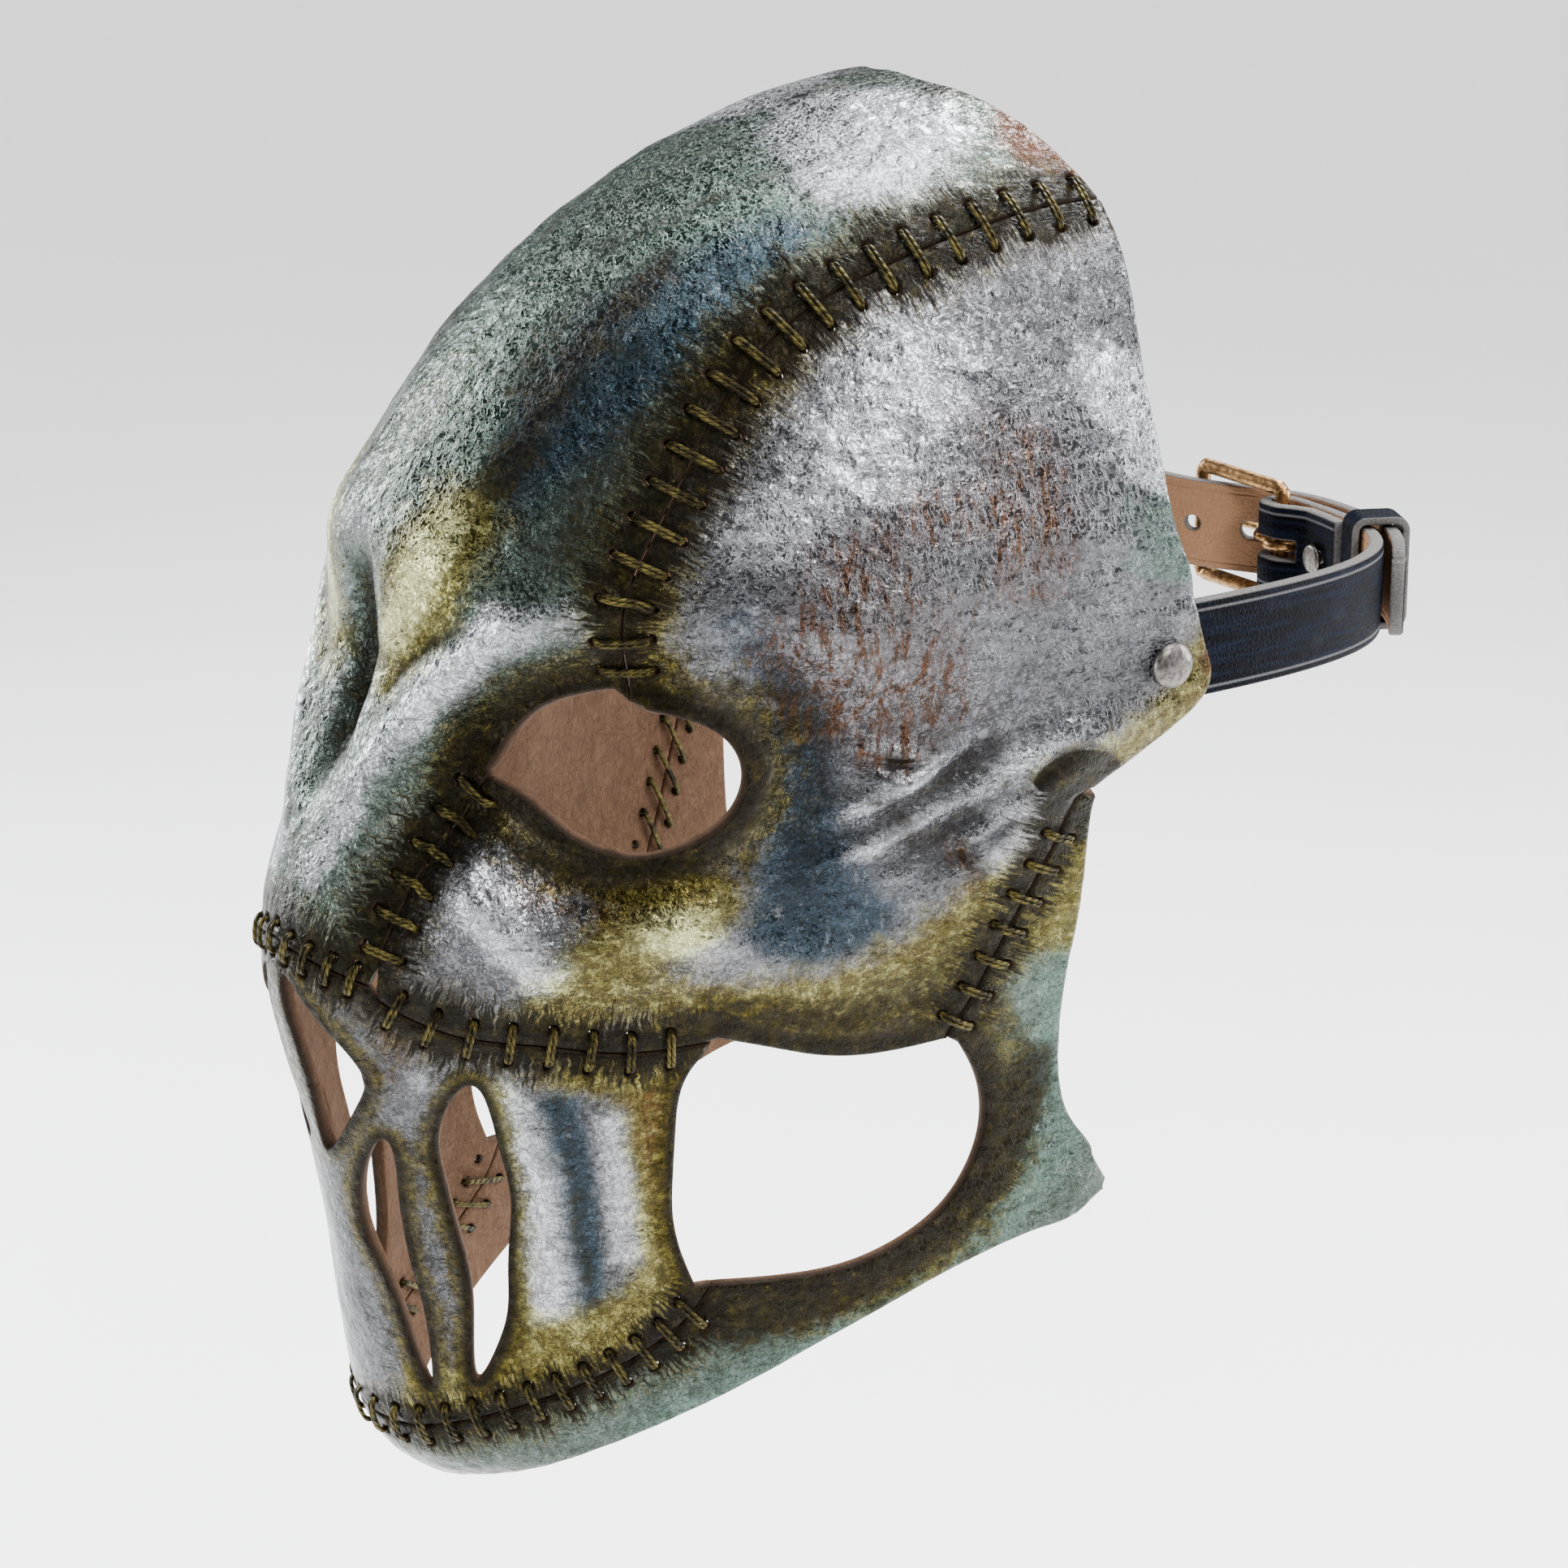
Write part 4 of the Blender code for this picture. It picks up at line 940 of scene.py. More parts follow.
def panel_rings():
    """Every panel's outline and holes on the pattern, as {name: rings}."""
    half = SEAM_GAP / 2
    crown = np.vstack([seam_edge("nose_tip", half), seam_edge("nose_side", half),
                       smooth(EYE_TOP, EDGE_POINTS), seam_edge("forehead", half),
                       smooth(REAR_TOP, EDGE_POINTS)[::-1]])
    side = np.vstack([seam_edge("forehead", -half), smooth(REAR_SIDE, EDGE_POINTS),
                      seam_edge("jaw", half)[::-1], smooth(CHEEK_TOP, EDGE_POINTS),
                      seam_edge("mouth", half)[::-1], seam_edge("nose_side", -half),
                      smooth(EYE_UNDER, EDGE_POINTS)])
    mouth = np.vstack([seam_edge("nose_tip", -half), seam_edge("mouth", -half),
                       smooth(CHEEK_FRONT, EDGE_POINTS), seam_edge("chin", half)[::-1]])
    jaw = np.vstack([seam_edge("chin", -half), smooth(CHEEK_BACK, EDGE_POINTS), seam_edge("jaw", -half),
                     smooth(REAR_JAW, EDGE_POINTS), smooth(JAW_UNDER, EDGE_POINTS)])
    openings = [closed_curve(points, EDGE_POINTS) for points in (NOSTRIL, FRONT_SLOT, BACK_SLOT)]
    rivet_hole = ring_around(RIVET_SPOT, RIVET_HOLE, ROUND_SIDES)
    side_rings = [side, rivet_hole, *punched("forehead", 1), *punched("nose_side", 1), *punched("mouth", 0),
                  *punched("jaw", 0)]
    return {
        "crown_panel": [both(crown), *punched("nose_tip", 0),
                        *both_holes(punched("nose_side", 0) + punched("forehead", 0))],
        "side_panel_left": side_rings,
        "side_panel_right": [mirrored(ring) for ring in side_rings],
        "mouth_panel": [both(mouth), *punched("nose_tip", 1), *punched("chin", 0),
                        *both_holes(openings + punched("mouth", 1))],
        "jaw_panel": [both(jaw), *punched("chin", 1), *both_holes(punched("jaw", 1))],
    }


PANEL_RINGS = panel_rings()
print({name: len(rings) - 1 for name, rings in PANEL_RINGS.items()}, "holes and openings")

# %% What the paint needs to know
LINE_POINTS = 0.6        # spacing of the points that distances are measured to
LINE_OFFSET = 300        # between the distances of two lines, so that their bristle marks differ
RIDGE_REACH = 4.0        # how far round a point its surroundings are taken


def lines_with_distance(lines):
    """A search tree of lines in space, and how far along its line each point is."""
    places, along = [], []
    for number, line in enumerate(lines):
        places.append(form(line))
        run = np.linalg.norm(np.diff(places[-1], axis=0), axis=1)
        along.append(np.concatenate([[0], np.cumsum(run)]) + LINE_OFFSET * number)
    return tree_of(np.vstack(places)), np.concatenate(along)


seam_lines = [smooth(points, LINE_POINTS) for points, *_ in SEAMS.values()]
seam_lines += [line * (-1, 1) for line in seam_lines]
eye = np.vstack([smooth(EYE_TOP, LINE_POINTS), smooth(EYE_UNDER, LINE_POINTS)[::-1]])
cheek = np.vstack([smooth(run, LINE_POINTS) for run in (CHEEK_TOP, CHEEK_FRONT, CHEEK_BACK)])
rim_lines = [closed_curve(points, LINE_POINTS) for points in (NOSTRIL, FRONT_SLOT, BACK_SLOT)]
rim_lines = [eye, cheek, *rim_lines]
rim_lines += [line * (-1, 1) for line in rim_lines]
SEAM_TREE, SEAM_ALONG = lines_with_distance(seam_lines)
RIM_TREE = lines_with_distance(rim_lines)[0]


def face_surface(flat):
    spots = flat / (TURN_SCALE, 1)
    lift = stroke_field(FOLD_LINES, *spots.T) + lumps(*spots.T)
    return form(spots), lift


def surface_height(turn, rise):
    return relief(turn, rise) + stroke_field(FOLD_LINES, turn, rise)


def ridges(turn, rise):
    """How far each point stands above its surroundings, in millimetres; hollows are negative."""
    total = -surface_height(turn, rise)
    across = RIDGE_REACH / TURN_SCALE
    for turned_by, raised_by in ((across, 0), (-across, 0), (0, RIDGE_REACH), (0, -RIDGE_REACH)):
        total += surface_height(turn + turned_by, rise + raised_by) / 4
    return -total


def face_facts(flat, points):
    """What the paint needs to know at each point."""
    spots = flat / (TURN_SCALE, 1)
    facts = {name: np.clip(stroke_field(lines, *spots.T), 0, 1.2) for name, lines in PAINT_LINES.items()}
    # ridge also places the painted highlights on ridges and the painted shade in hollows
    facts["ridge"] = ridges(*spots.T)
    found = [SEAM_TREE.find(p) for p in points]
    facts["seam_along"] = SEAM_ALONG[[f[1] for f in found]]
    facts["seam_away"] = [f[2] for f in found]
    facts["rim_away"] = [RIM_TREE.find(p)[2] for p in points]
    return facts


print(len(seam_lines), "seams and", len(rim_lines), "rims to measure from")

# %% Make the panels
FINISHES = {
    "crown_panel": painted_leather("crown_leather", SAGE, seam_width=8.5, rim_width=4.6),
    "side_panel_left": painted_leather("temple_leather", SILVER, seam_width=7.0, rim_width=5.0),
    "mouth_panel": painted_leather("mouth_leather", PEWTER, seam_width=5.0, rim_width=1.9),
    "jaw_panel": painted_leather("jaw_leather", SAGE, seam_width=5.0, rim_width=5.5),
}
FINISHES["side_panel_right"] = FINISHES["side_panel_left"]
for node, rings in PANEL_RINGS.items():
    flat_rings = [np.asarray(ring) * (TURN_SCALE, 1) for ring in rings]
    sheet = leather_sheet(node + "_skin", flat_rings, face_surface, (0, -SKIN), LEATHER_GRID,
                          FINISHES[node], facts=face_facts)
    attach(sheet, "mask")
    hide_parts(node)

# %% [markdown]
# ## The lacing
#
# One waxed thread, doubled, runs along each seam: up through a hole, over the seam, down, and under
# the leather to the next pair of holes.  Stitches repeat and follow a path, which is what Geometry
# Nodes are for.  The script gives each seam's two strands as plain lines, and one node tree rounds
# them, gives them their thickness and stores how far along the thread each point is, for its twist.

# %% A node tree that turns lines into thread or bar
def tube_tree():
    tree = bpy.data.node_groups.new("tube_on_path", "GeometryNodeTree")
    for label, kind in (("Geometry", "Geometry"), ("Radius", "Float"), ("Step", "Float"), ("Sides", "Int"),
                        ("Finish", "Material")):
        tree.interface.new_socket(label, in_out="INPUT", socket_type="NodeSocket" + kind)
    tree.interface.new_socket("Geometry", in_out="OUTPUT", socket_type="NodeSocketGeometry")
    source = tree.nodes.new("NodeGroupInput").outputs

    def remembered(curve, name, measure):
        """The curve with a measure of the way along it stored on its points."""
        value = add(tree, "GeometryNodeSplineParameter").outputs[measure]
        inputs = {"Geometry": curve, "Name": name, "Value": value}
        return add(tree, "GeometryNodeStoreNamedAttribute", inputs,
                   data_type="FLOAT", domain="POINT").outputs["Geometry"]

    lines = add(tree, "GeometryNodeMeshToCurve", {"Mesh": source["Geometry"]}).outputs["Curve"]
    lines = add(tree, "GeometryNodeCurveSplineType", {"Curve": lines},
                spline_type="CATMULL_ROM").outputs["Curve"]
    lines = add(tree, "GeometryNodeResampleCurve", {"Curve": lines, "Length": source["Step"]},
                mode="LENGTH").outputs["Curve"]
    lines = remembered(lines, "tube_along", "Length")
    ring = add(tree, "GeometryNodeCurvePrimitiveCircle", {"Resolution": source["Sides"],
                                                          "Radius": source["Radius"]}).outputs["Curve"]
    ring = remembered(ring, "tube_around", "Factor")
    tube = add(tree, "GeometryNodeCurveToMesh", {"Curve": lines, "Profile Curve": ring,
                                                 "Fill Caps": True}).outputs["Mesh"]
    tube = add(tree, "GeometryNodeSetShadeSmooth", {0: tube}).outputs[0]
    tube = add(tree, "GeometryNodeRealizeInstances", {"Geometry": tube}).outputs["Geometry"]
    tube = add(tree, "GeometryNodeSetMaterial", {"Geometry": tube, "Material": source["Finish"]})
    add(tree, "NodeGroupOutput", {"Geometry": tube.outputs["Geometry"]})
    return tree


TUBE_TREE = tube_tree()
print(TUBE_TREE.name, len(TUBE_TREE.nodes), "nodes")


def tubes(name, paths, radius, step, sides, shader, closed=False):
    """Lines in millimetres made into one mesh of round tubes by the node tree."""
    points, edges = [], []
    for path in paths:
        first = len(points)
        points += [tuple(np.asarray(p, float) * METRES) for p in path]
        edges += [(k, k + 1) for k in range(first, len(points) - 1)]
        if closed:
            edges.append((len(points) - 1, first))
    mesh = bpy.data.meshes.new(name + "_lines")
    mesh.from_pydata(points, edges, [])
    source = bpy.data.objects.new(name + "_lines", mesh)
    bpy.context.scene.collection.objects.link(source)
    nodes = source.modifiers.new("tube", "NODES")
    nodes.node_group = TUBE_TREE
    sizes = {"Radius": radius * METRES, "Step": step * METRES, "Sides": sides, "Finish": shader}
    for item in TUBE_TREE.interface.items_tree:
        if item.in_out == "INPUT" and item.name in sizes:
            nodes[item.identifier] = sizes[item.name]
    seen = source.evaluated_get(bpy.context.evaluated_depsgraph_get())
    piece = bpy.data.objects.new(name, bpy.data.meshes.new_from_object(seen))
    bpy.context.scene.collection.objects.link(piece)
    bpy.data.objects.remove(source)
    return piece


# %% Waxed thread
STRAND_RADIUS = 0.42
STRAND_GAP = 0.43        # half the distance between the two strands
THREAD_SETTLE = -0.03    # how far the arch of a stitch is moved out; a pulled stitch sinks a little
THREAD_UNDER = 0.75      # from the leather's inner face to the middle of a strand
HOLE_SQUEEZE = 0.55      # the strands lie closer together inside a hole
PLIES_PER_MM = 0.62      # how tightly the plies of a strand are twisted
# The way over a seam: the share of the way across, and the height over the leather's outer face
STITCH_WAY = [(0, -SKIN - THREAD_UNDER), (0, -1.3), (0.02, -0.2), (0.12, 0.85), (0.35, 1.15), (0.65, 1.15),
              (0.88, 0.85), (0.98, -0.2), (1, -1.3), (1, -SKIN - THREAD_UNDER)]


def thread_material():
    shader, tree = node_material("waxed_thread")
    twist = stored(tree, "tube_along") * (PLIES_PER_MM / METRES) + stored(tree, "tube_around") * 2.0
    ply = abs((twist * math.pi).maths("SINE"))
    wear = grain(place_of(tree), 0.35, 3.0, 0.6)
    colour = blend(step_up(wear, 0.38, 0.66), (0.010, 0.008, 0.003), (0.085, 0.068, 0.018))
    # painted shade: the grooves between the plies are darker
    colour = blend(step_up(ply, 0.45, 0.0), colour, (0.012, 0.008, 0.004))
    return finished(shader, colour, 0.5, 0.42, ply, 0.22, 0.10)


def strands(left, right, rng):
    """The two strands of a seam's thread, from its holes' places on the pattern."""
    across = right - left
    ahead = np.gradient((left + right) / 2, axis=0)
    routes = [[], []]
    for k in range(len(left)):
        slack = rng.uniform(-0.06, 0.10)
        for share, lift in STITCH_WAY:
            spot = left[k] + across[k] * share
            turning, rising, normal = (vectors[0] for vectors in slopes([spot]))
            tip = turning * ahead[k][0] + rising * ahead[k][1]
            tip /= np.linalg.norm(tip)
            spread = STRAND_GAP * (HOLE_SQUEEZE if lift < 0 else 1.0)
            height = lift + (THREAD_SETTLE + slack if lift > 0 else 0)
            middle = form([spot])[0] + normal * height
            routes[0].append(middle + tip * spread)
            routes[1].append(middle - tip * spread)
    return routes


waxed = thread_material()
random = np.random.default_rng(5)
for name, (points, *_) in SEAMS.items():
    left, right = stitch_holes(name)
    sides = {"": 1} if points[0][0] == 0 else {"_left": 1, "_right": -1}
    for suffix, flip in sides.items():
        node = "lacing_" + name + suffix
        thread = tubes(node + "_thread", strands(left * (flip, 1), right * (flip, 1), random),
                       STRAND_RADIUS, step=0.45, sides=10, shader=waxed)
        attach(thread, "mask")
        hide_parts(node)
        print(thread.name, len(left), "stitches")

# %% [markdown]
# ## The strap
#
# The strap is bridle leather dyed black, cut as a strip and creased with a hot tool just inside each
# edge.  It is the same sheet-of-leather problem as the panels with a simpler surface: a flat place is
# a distance along the strap's route and a height across it.

# %% Strap routes
# Strap, in plan an ellipse around the back of the head
STRAP_WIDTH = 19.0
STRAP_SKIN = 3.0
STRAP_SIDE = 68.1        # half width of the ellipse
STRAP_BACK = 95.0        # depth of the ellipse behind the rivets
STRAP_DROOP = 8.0        # how far the strap hangs at the back
TAIL_LIFT = 4.7          # the loose tail lies this far outside the strap under it
TAIL_SAG = 3.0           # the tip of the tail hangs this far below its keeper
TAIL_TIP = 56.0          # degrees round the ellipse, from the wearer's left
KEEPER_AT = 73.0
HEEL_AT = 97.0           # the buckle's heel bar
END_AT = 115.5           # the buckle's end bar
FOLD_RIVET_AT = 84.5     # the rivet that closes the fold round the heel bar
FOLD_GAP = 0.7           # between the fold's two layers
BAR_RADIUS = 1.6
PRONG_RADIUS = 1.1
PLAY = 0.4
PRONG_HOLE_AT = HEEL_AT + 8.2


def ellipse(degrees, lift):
    """A point of the strap's plan, moved out by a lift, at its height."""
    angle = math.radians(degrees)
    x, y = math.cos(angle), math.sin(angle)
    out = np.array([x / STRAP_SIDE, y / STRAP_BACK])
    out /= np.linalg.norm(out)
    drop = -STRAP_DROOP * y ** 2 if degrees > 0 else 0.0
    return np.array([STRAP_SIDE * x + lift * out[0], STRAP_BACK * y + lift * out[1], drop])


FOLD_RADIUS = BAR_RADIUS + PLAY + STRAP_SKIN / 2
HEEL = ellipse(HEEL_AT, -FOLD_RADIUS)
END_DROP = BAR_RADIUS + 3 * PLAY + STRAP_SKIN / 2
END_BAR = ellipse(END_AT, END_DROP - FOLD_RADIUS)


def left_route():
    """Strap from the left rivet to the heel bar, round it, and back under itself."""
    start = np.array([[STRAP_SIDE, y, 0] for y in (-STRAP_WIDTH / 2, -STRAP_WIDTH / 4)])
    round_head = [ellipse(d, 0) for d in np.linspace(0, HEEL_AT, 21)]
    out = round_head[-1] - HEEL
    ahead = np.cross((0, 0, 1), out)
    bend = [HEEL + math.cos(a) * out + math.sin(a) * ahead for a in np.radians(np.arange(20, 181, 20))]
    layer = STRAP_SKIN + FOLD_GAP
    back = []
    for degrees in np.linspace(2, 20, 10):
        closing = 2 * FOLD_RADIUS - max(0, degrees - 2) * 0.6
        back.append(ellipse(HEEL_AT - degrees, -max(layer, closing)))
    return np.vstack([start, round_head, bend, back])


def tail_lift(degrees):
    """The right strap lies on the ellipse, ducks under the end bar, then lies on the left strap."""
    stops = [TAIL_TIP, HEEL_AT - 6, HEEL_AT, END_AT, END_AT + 14, 180]
    lifts = [TAIL_LIFT, TAIL_LIFT, TAIL_LIFT, -FOLD_RADIUS, 0, 0]
    return float(np.interp(degrees, stops, lifts))


def right_route():
    start = np.array([[-STRAP_SIDE, y, 0] for y in (-STRAP_WIDTH / 2, -STRAP_WIDTH / 4)])
    places = []
    for degrees in [*range(180, 132, -5), *range(132, 88, -2), *np.linspace(88, TAIL_TIP, 8)]:
        lift = np.mean([tail_lift(degrees + d) for d in (-4, -2, 0, 2, 4)])
        sag = TAIL_SAG * max(0, (KEEPER_AT - 6 - degrees) / (KEEPER_AT - 6 - TAIL_TIP))
        places.append(ellipse(degrees, lift) - (0, 0, sag))
    return np.vstack([start, places])


def distances(route):
    return np.concatenate([[0], np.cumsum(np.linalg.norm(np.diff(route, axis=0), axis=1))])


def distance_to(route, point):
    """How far along a route the place nearest to a point is."""
    at = distances(route)
    fine = np.arange(0, at[-1], 0.1)
    places = np.stack([np.interp(fine, at, route[:, k]) for k in range(3)], -1)
    return fine[np.linalg.norm(places - point, axis=1).argmin()]


def strap_outline(at, tip):
    """Round end at the rivet; the far end is square, or round for a tip.  Edge points follow the route."""
    half, length = STRAP_WIDTH / 2, at[-1]
    turn = np.linspace(0, math.pi, 11)
    nose = [(half - half * math.sin(a), -half * math.cos(a)) for a in turn]
    far = [(length, half), (length, -half)]
    if tip:
        far = [(length - half + half * math.sin(a), half * math.cos(a)) for a in turn]
    edges = at[(at > half + 1) & (at < far[0][0] - 1)]
    return np.array(nose + [(x, half) for x in edges] + far + [(x, -half) for x in edges[::-1]])


def round_hole(x, radius, stretch=0.0):
    """A hole on the strap's middle line, stretched both ways along the strap."""
    angles = 2 * math.pi * (np.arange(ROUND_SIDES) + 0.5) / ROUND_SIDES
    return np.array([(x + radius * math.cos(a) + math.copysign(stretch, math.cos(a)),
                      radius * math.sin(a)) for a in angles])


def slot(at, start, end, half):
    """A slot along the strap, with points where the route has them."""
    places = np.concatenate([[start], at[(at > start + 0.3) & (at < end - 0.3)], [end]])
    return np.array([(x, -half) for x in places] + [(x, half) for x in places[::-1]])


print("buckle", round(float(np.linalg.norm(END_BAR - HEEL)), 1), "mm from its heel bar to its end bar")

# %% Strap material
CREASE_IN = 1.7          # from the strap's edge to its creased line
DYE_DARK = (0.0008, 0.0010, 0.0020)
DYE_PALE = (0.003, 0.005, 0.012)
WORN_DYE = (0.020, 0.022, 0.028)
CREASE_GREY = (0.13, 0.13, 0.14)
EDGE_GREYS = ((0.035, 0.033, 0.033), (0.17, 0.165, 0.16))
SUEDES = ((0.16, 0.085, 0.045), (0.30, 0.17, 0.10))


def strap_material():
    shader, tree = node_material("black_bridle_leather")
    along, across = stored(tree, "strap_along"), stored(tree, "strap_across")
    cut, flesh = step_up(stored(tree, "cut"), 0.45, 0.05), stored(tree, "inner_face")
    lengthwise = grain(place_from(along * 0.06, across), 0.9, 4.0, 0.65)
    pores = step_up(cell_walls(place_of(tree), 0.9), 0.0, 0.30)
    fibre = grain(place_of(tree), 2.2, 3.0, 0.6)
    patchy = grain(place_of(tree), 0.12, 4.0, 0.6)
    from_edge = STRAP_WIDTH / 2 - abs(across)
    groove = step_up(abs(from_edge - CREASE_IN), 0.45, 0.08)
    colour = blend(step_up(lengthwise, 0.42, 0.68), DYE_DARK, DYE_PALE)
    colour = blend(step_up(patchy, 0.54, 0.74) * 0.20, colour, WORN_DYE)
    colour = blend(groove * 0.55, colour, CREASE_GREY)
    colour = blend(cut, colour, blend(fibre, *EDGE_GREYS))
    colour = blend(flesh * (1.0 - cut), colour, blend(fibre, *SUEDES))
    rough = lengthwise * 0.20 + 0.42 + greatest(cut, flesh) * 0.45
    height = pores * 0.35 + fibre * 0.25 - groove * 1.1
    return finished(shader, colour, 0.0, rough, height, 0.22, 0.02)


black = strap_material()

# %% Strap pieces
STRAP_GRID = 1.2
HOLE_PITCH = 14.0        # from one of the tail's holes to the next
TAIL_HOLE = 1.6
SLOT_REACH = 12.0        # how far the prong's slot runs to each side of the bend
SLOT_HALF = 2.2


def strap_surface(route):
    at = distances(route)
    curves = [spline(at, route[:, k]) for k in range(3)]

    def surface(flat):
        points = np.stack([curve(flat[:, 0]) for curve in curves], -1)
        points[:, 2] += flat[:, 1]
        return points, np.zeros(len(points))

    return surface


def strap_facts(flat, points):
    return {"strap_along": flat[:, 0], "strap_across": flat[:, 1]}


def dense(ring, step=0.8):
    """A closed ring with points added so that none are more than a step apart."""
    points = []
    for a, b in zip(ring, np.roll(ring, -1, 0)):
        pieces = max(1, math.ceil(np.linalg.norm(b - a) / step))
        points += [a + (b - a) * k / pieces for k in range(pieces)]
    return np.array(points)


def strap_piece(node, route, tip, holes, flip):
    rings = [dense(strap_outline(distances(route), tip)), *(dense(hole) for hole in holes)]
    half = STRAP_SKIN / 2
    piece = leather_sheet(node + "_leather", rings, strap_surface(route), (half, -half), STRAP_GRID, black,
                          flip=flip, facts=strap_facts)
    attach(piece, "strap")
    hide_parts(node)


half = STRAP_WIDTH / 2
left, right = left_route(), right_route()
bend = distance_to(left, HEEL + np.cross((0, 0, 1), ellipse(HEEL_AT, 0) - HEEL))
fold_rivet_at = distance_to(left, ellipse(FOLD_RIVET_AT, 0))
fold_back_at = distance_to(left, ellipse(FOLD_RIVET_AT, -STRAP_SKIN - FOLD_GAP))
left_holes = [round_hole(half, RIVET_HOLE),
              slot(distances(left), bend - SLOT_REACH, bend + SLOT_REACH, SLOT_HALF)]
left_holes += [round_hole(place, RIVET_HOLE, 1.0) for place in (fold_rivet_at, fold_back_at)]
strap_piece("strap_left", left, False, left_holes, False)
prong_at = distance_to(right, ellipse(PRONG_HOLE_AT, tail_lift(PRONG_HOLE_AT)))
right_holes = [round_hole(half, RIVET_HOLE), round_hole(prong_at, PRONG_RADIUS + 2 * PLAY, 1.6)]
right_holes += [round_hole(prong_at + HOLE_PITCH * k, TAIL_HOLE) for k in (-2, -1, 1, 2)]
strap_piece("strap_right", right, True, right_holes, True)

# %% [markdown]
# ## Rivets, buckle and keeper
#
# The temple rivets are pewter double caps, a little hammered and darkened in spots.  A turned part is
# a profile swept round an axis.  The buckle and its prong are bent from brass wire, so they are the
# thread's node tree again with a larger radius.

# %% Metal
def metal_material(name, colour, dark, rough):
    shader, tree = node_material(name)
    spots = grain(place_of(tree), 0.9, 4.0, 0.65)
    dents = grain(place_of(tree), 0.5, 1.0)
    lines = grain(place_of(tree, (0.3, 4.0, 0.3)), 1.0, 2.0, 0.7)
    tint = blend(step_up(spots, 0.36, 0.62), dark, colour)
    return finished(shader, tint, 1.0, lines * 0.22 + rough, dents * 0.8 + spots * 0.25, 0.12)


def turned(name, profile, place, axis, shader, sides=48):
    """A closed turned shape: a profile of (radius, height) swept round, then aimed along an axis."""
    points = []
    for radius, height in profile:
        for angle in np.linspace(0, 2 * math.pi, sides, endpoint=False):
            points.append((radius * math.cos(angle), radius * math.sin(angle), height))
    faces = []
    for row in range(len(profile) - 1):
        for k in range(sides):
            a, b = row * sides + k, row * sides + (k + 1) % sides
            faces.append((a, b, b + sides, a + sides))
    faces.append(tuple(reversed(range(sides))))
    faces.append(tuple(range((len(profile) - 1) * sides, len(profile) * sides)))
    aim = Vector((0, 0, 1)).rotation_difference(Vector(axis))
    return mesh_piece(name, [np.array(aim @ Vector(p)) + place for p in points], faces, shader)


def cap_profile(radius, height, stack):
    """A domed cap with a rolled rim, on the post that goes through the leather."""
    rolled = [(radius * 0.93, 0), (radius * 0.985, height * 0.07), (radius, height * 0.18)]
    bend = np.radians(range(12, 90, 11))
    dome = [(radius * math.cos(a), height * (0.22 + 0.78 * math.sin(a))) for a in bend]
    return [(1.5, -stack), (1.5, 0), *rolled, *dome]


pewter = metal_material("pewter", (0.17, 0.16, 0.15), (0.07, 0.06, 0.055), 0.30)
brass = metal_material("antique_brass", (0.36, 0.21, 0.085), (0.12, 0.065, 0.028), 0.28)
CAPS = [("temple_rivet_left", "temple_rivet_back_left", "mask", (1, 0, 0), 4.5, 2.4),
        ("temple_rivet_right", "temple_rivet_back_right", "mask", (-1, 0, 0), 4.5, 2.4),
        ("fold_rivet", "fold_rivet_back", "strap", None, 3.4, 0.9)]
for front, behind, body, axis, radius, height in CAPS:
    low, high = (np.array(corner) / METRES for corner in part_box(front))
    if axis is None:
        axis = ellipse(FOLD_RIVET_AT, 1) - ellipse(FOLD_RIVET_AT, 0)
        seat = ellipse(FOLD_RIVET_AT, STRAP_SKIN / 2 + 0.3)
        stack = 2 * STRAP_SKIN + FOLD_GAP + 0.6
    else:
        side = high[0] if axis[0] > 0 else -low[0]
        stack = side - height - (STRAP_SIDE - STRAP_SKIN / 2 - 0.3)
        seat = np.array([axis[0] * (side - height), 0, 0])
    cap = turned(front + "_cap", cap_profile(radius, height, stack), seat, axis, pewter)
    washer = [(radius * 0.72, -stack - 1.3), (radius * 0.85, -stack - 1.15), (radius * 0.9, -stack - 0.8),
              (radius * 0.9, -stack - 0.3)]
    back = turned(behind + "_cap", washer, seat, axis, pewter)
    for piece, node in ((cap, front), (back, behind)):
        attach(piece, body)
        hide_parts(node)
        print(piece.name, len(piece.data.polygons), "faces")

# %% Buckle, prong and keeper
def rounded_rectangle(half_width, half_height, corner, turns):
    """Points round a flat rectangle; turns are the degrees at which each round corner has points."""
    points = []
    for side, end, first in ((1, 1, 0), (-1, 1, 90), (-1, -1, 180), (1, -1, 270)):
        for angle in np.radians(first + turns):
            points.append(((half_width - corner) * side + corner * math.cos(angle),
                           (half_height - corner) * end + corner * math.sin(angle)))
    return points


frame_half = STRAP_WIDTH / 2 + 2 * PLAY + BAR_RADIUS
ahead = (END_BAR - HEEL) / np.linalg.norm(END_BAR - HEEL)
level = np.array([*(END_BAR - HEEL)[:2], 0])
reach = np.linalg.norm(level)
level /= reach
loop = [HEEL + ahead * (reach / 2 + x) + np.array([0, 0, z])
        for x, z in rounded_rectangle(reach / 2, frame_half, 2.0, np.arange(0, 91, 30))]
buckle = tubes("buckle_frame_bar", [loop], BAR_RADIUS, step=0.6, sides=20, shader=brass, closed=True)
out = np.cross(level, (0, 0, 1))
out *= np.sign(np.dot(out, ellipse(HEEL_AT, 1) - ellipse(HEEL_AT, 0)))
eye_radius = BAR_RADIUS + PLAY + PRONG_RADIUS
bent = [(eye_radius * math.cos(a), eye_radius * math.sin(a)) for a in np.radians(np.arange(-50, -311, -26))]
bent += [(5.5, 1.4), (8.0, 1.8), (9.6, 4.4), (11.4, 6.9), (13.5, 7.9), (reach, 7.4), (reach + 3, 6.4)]
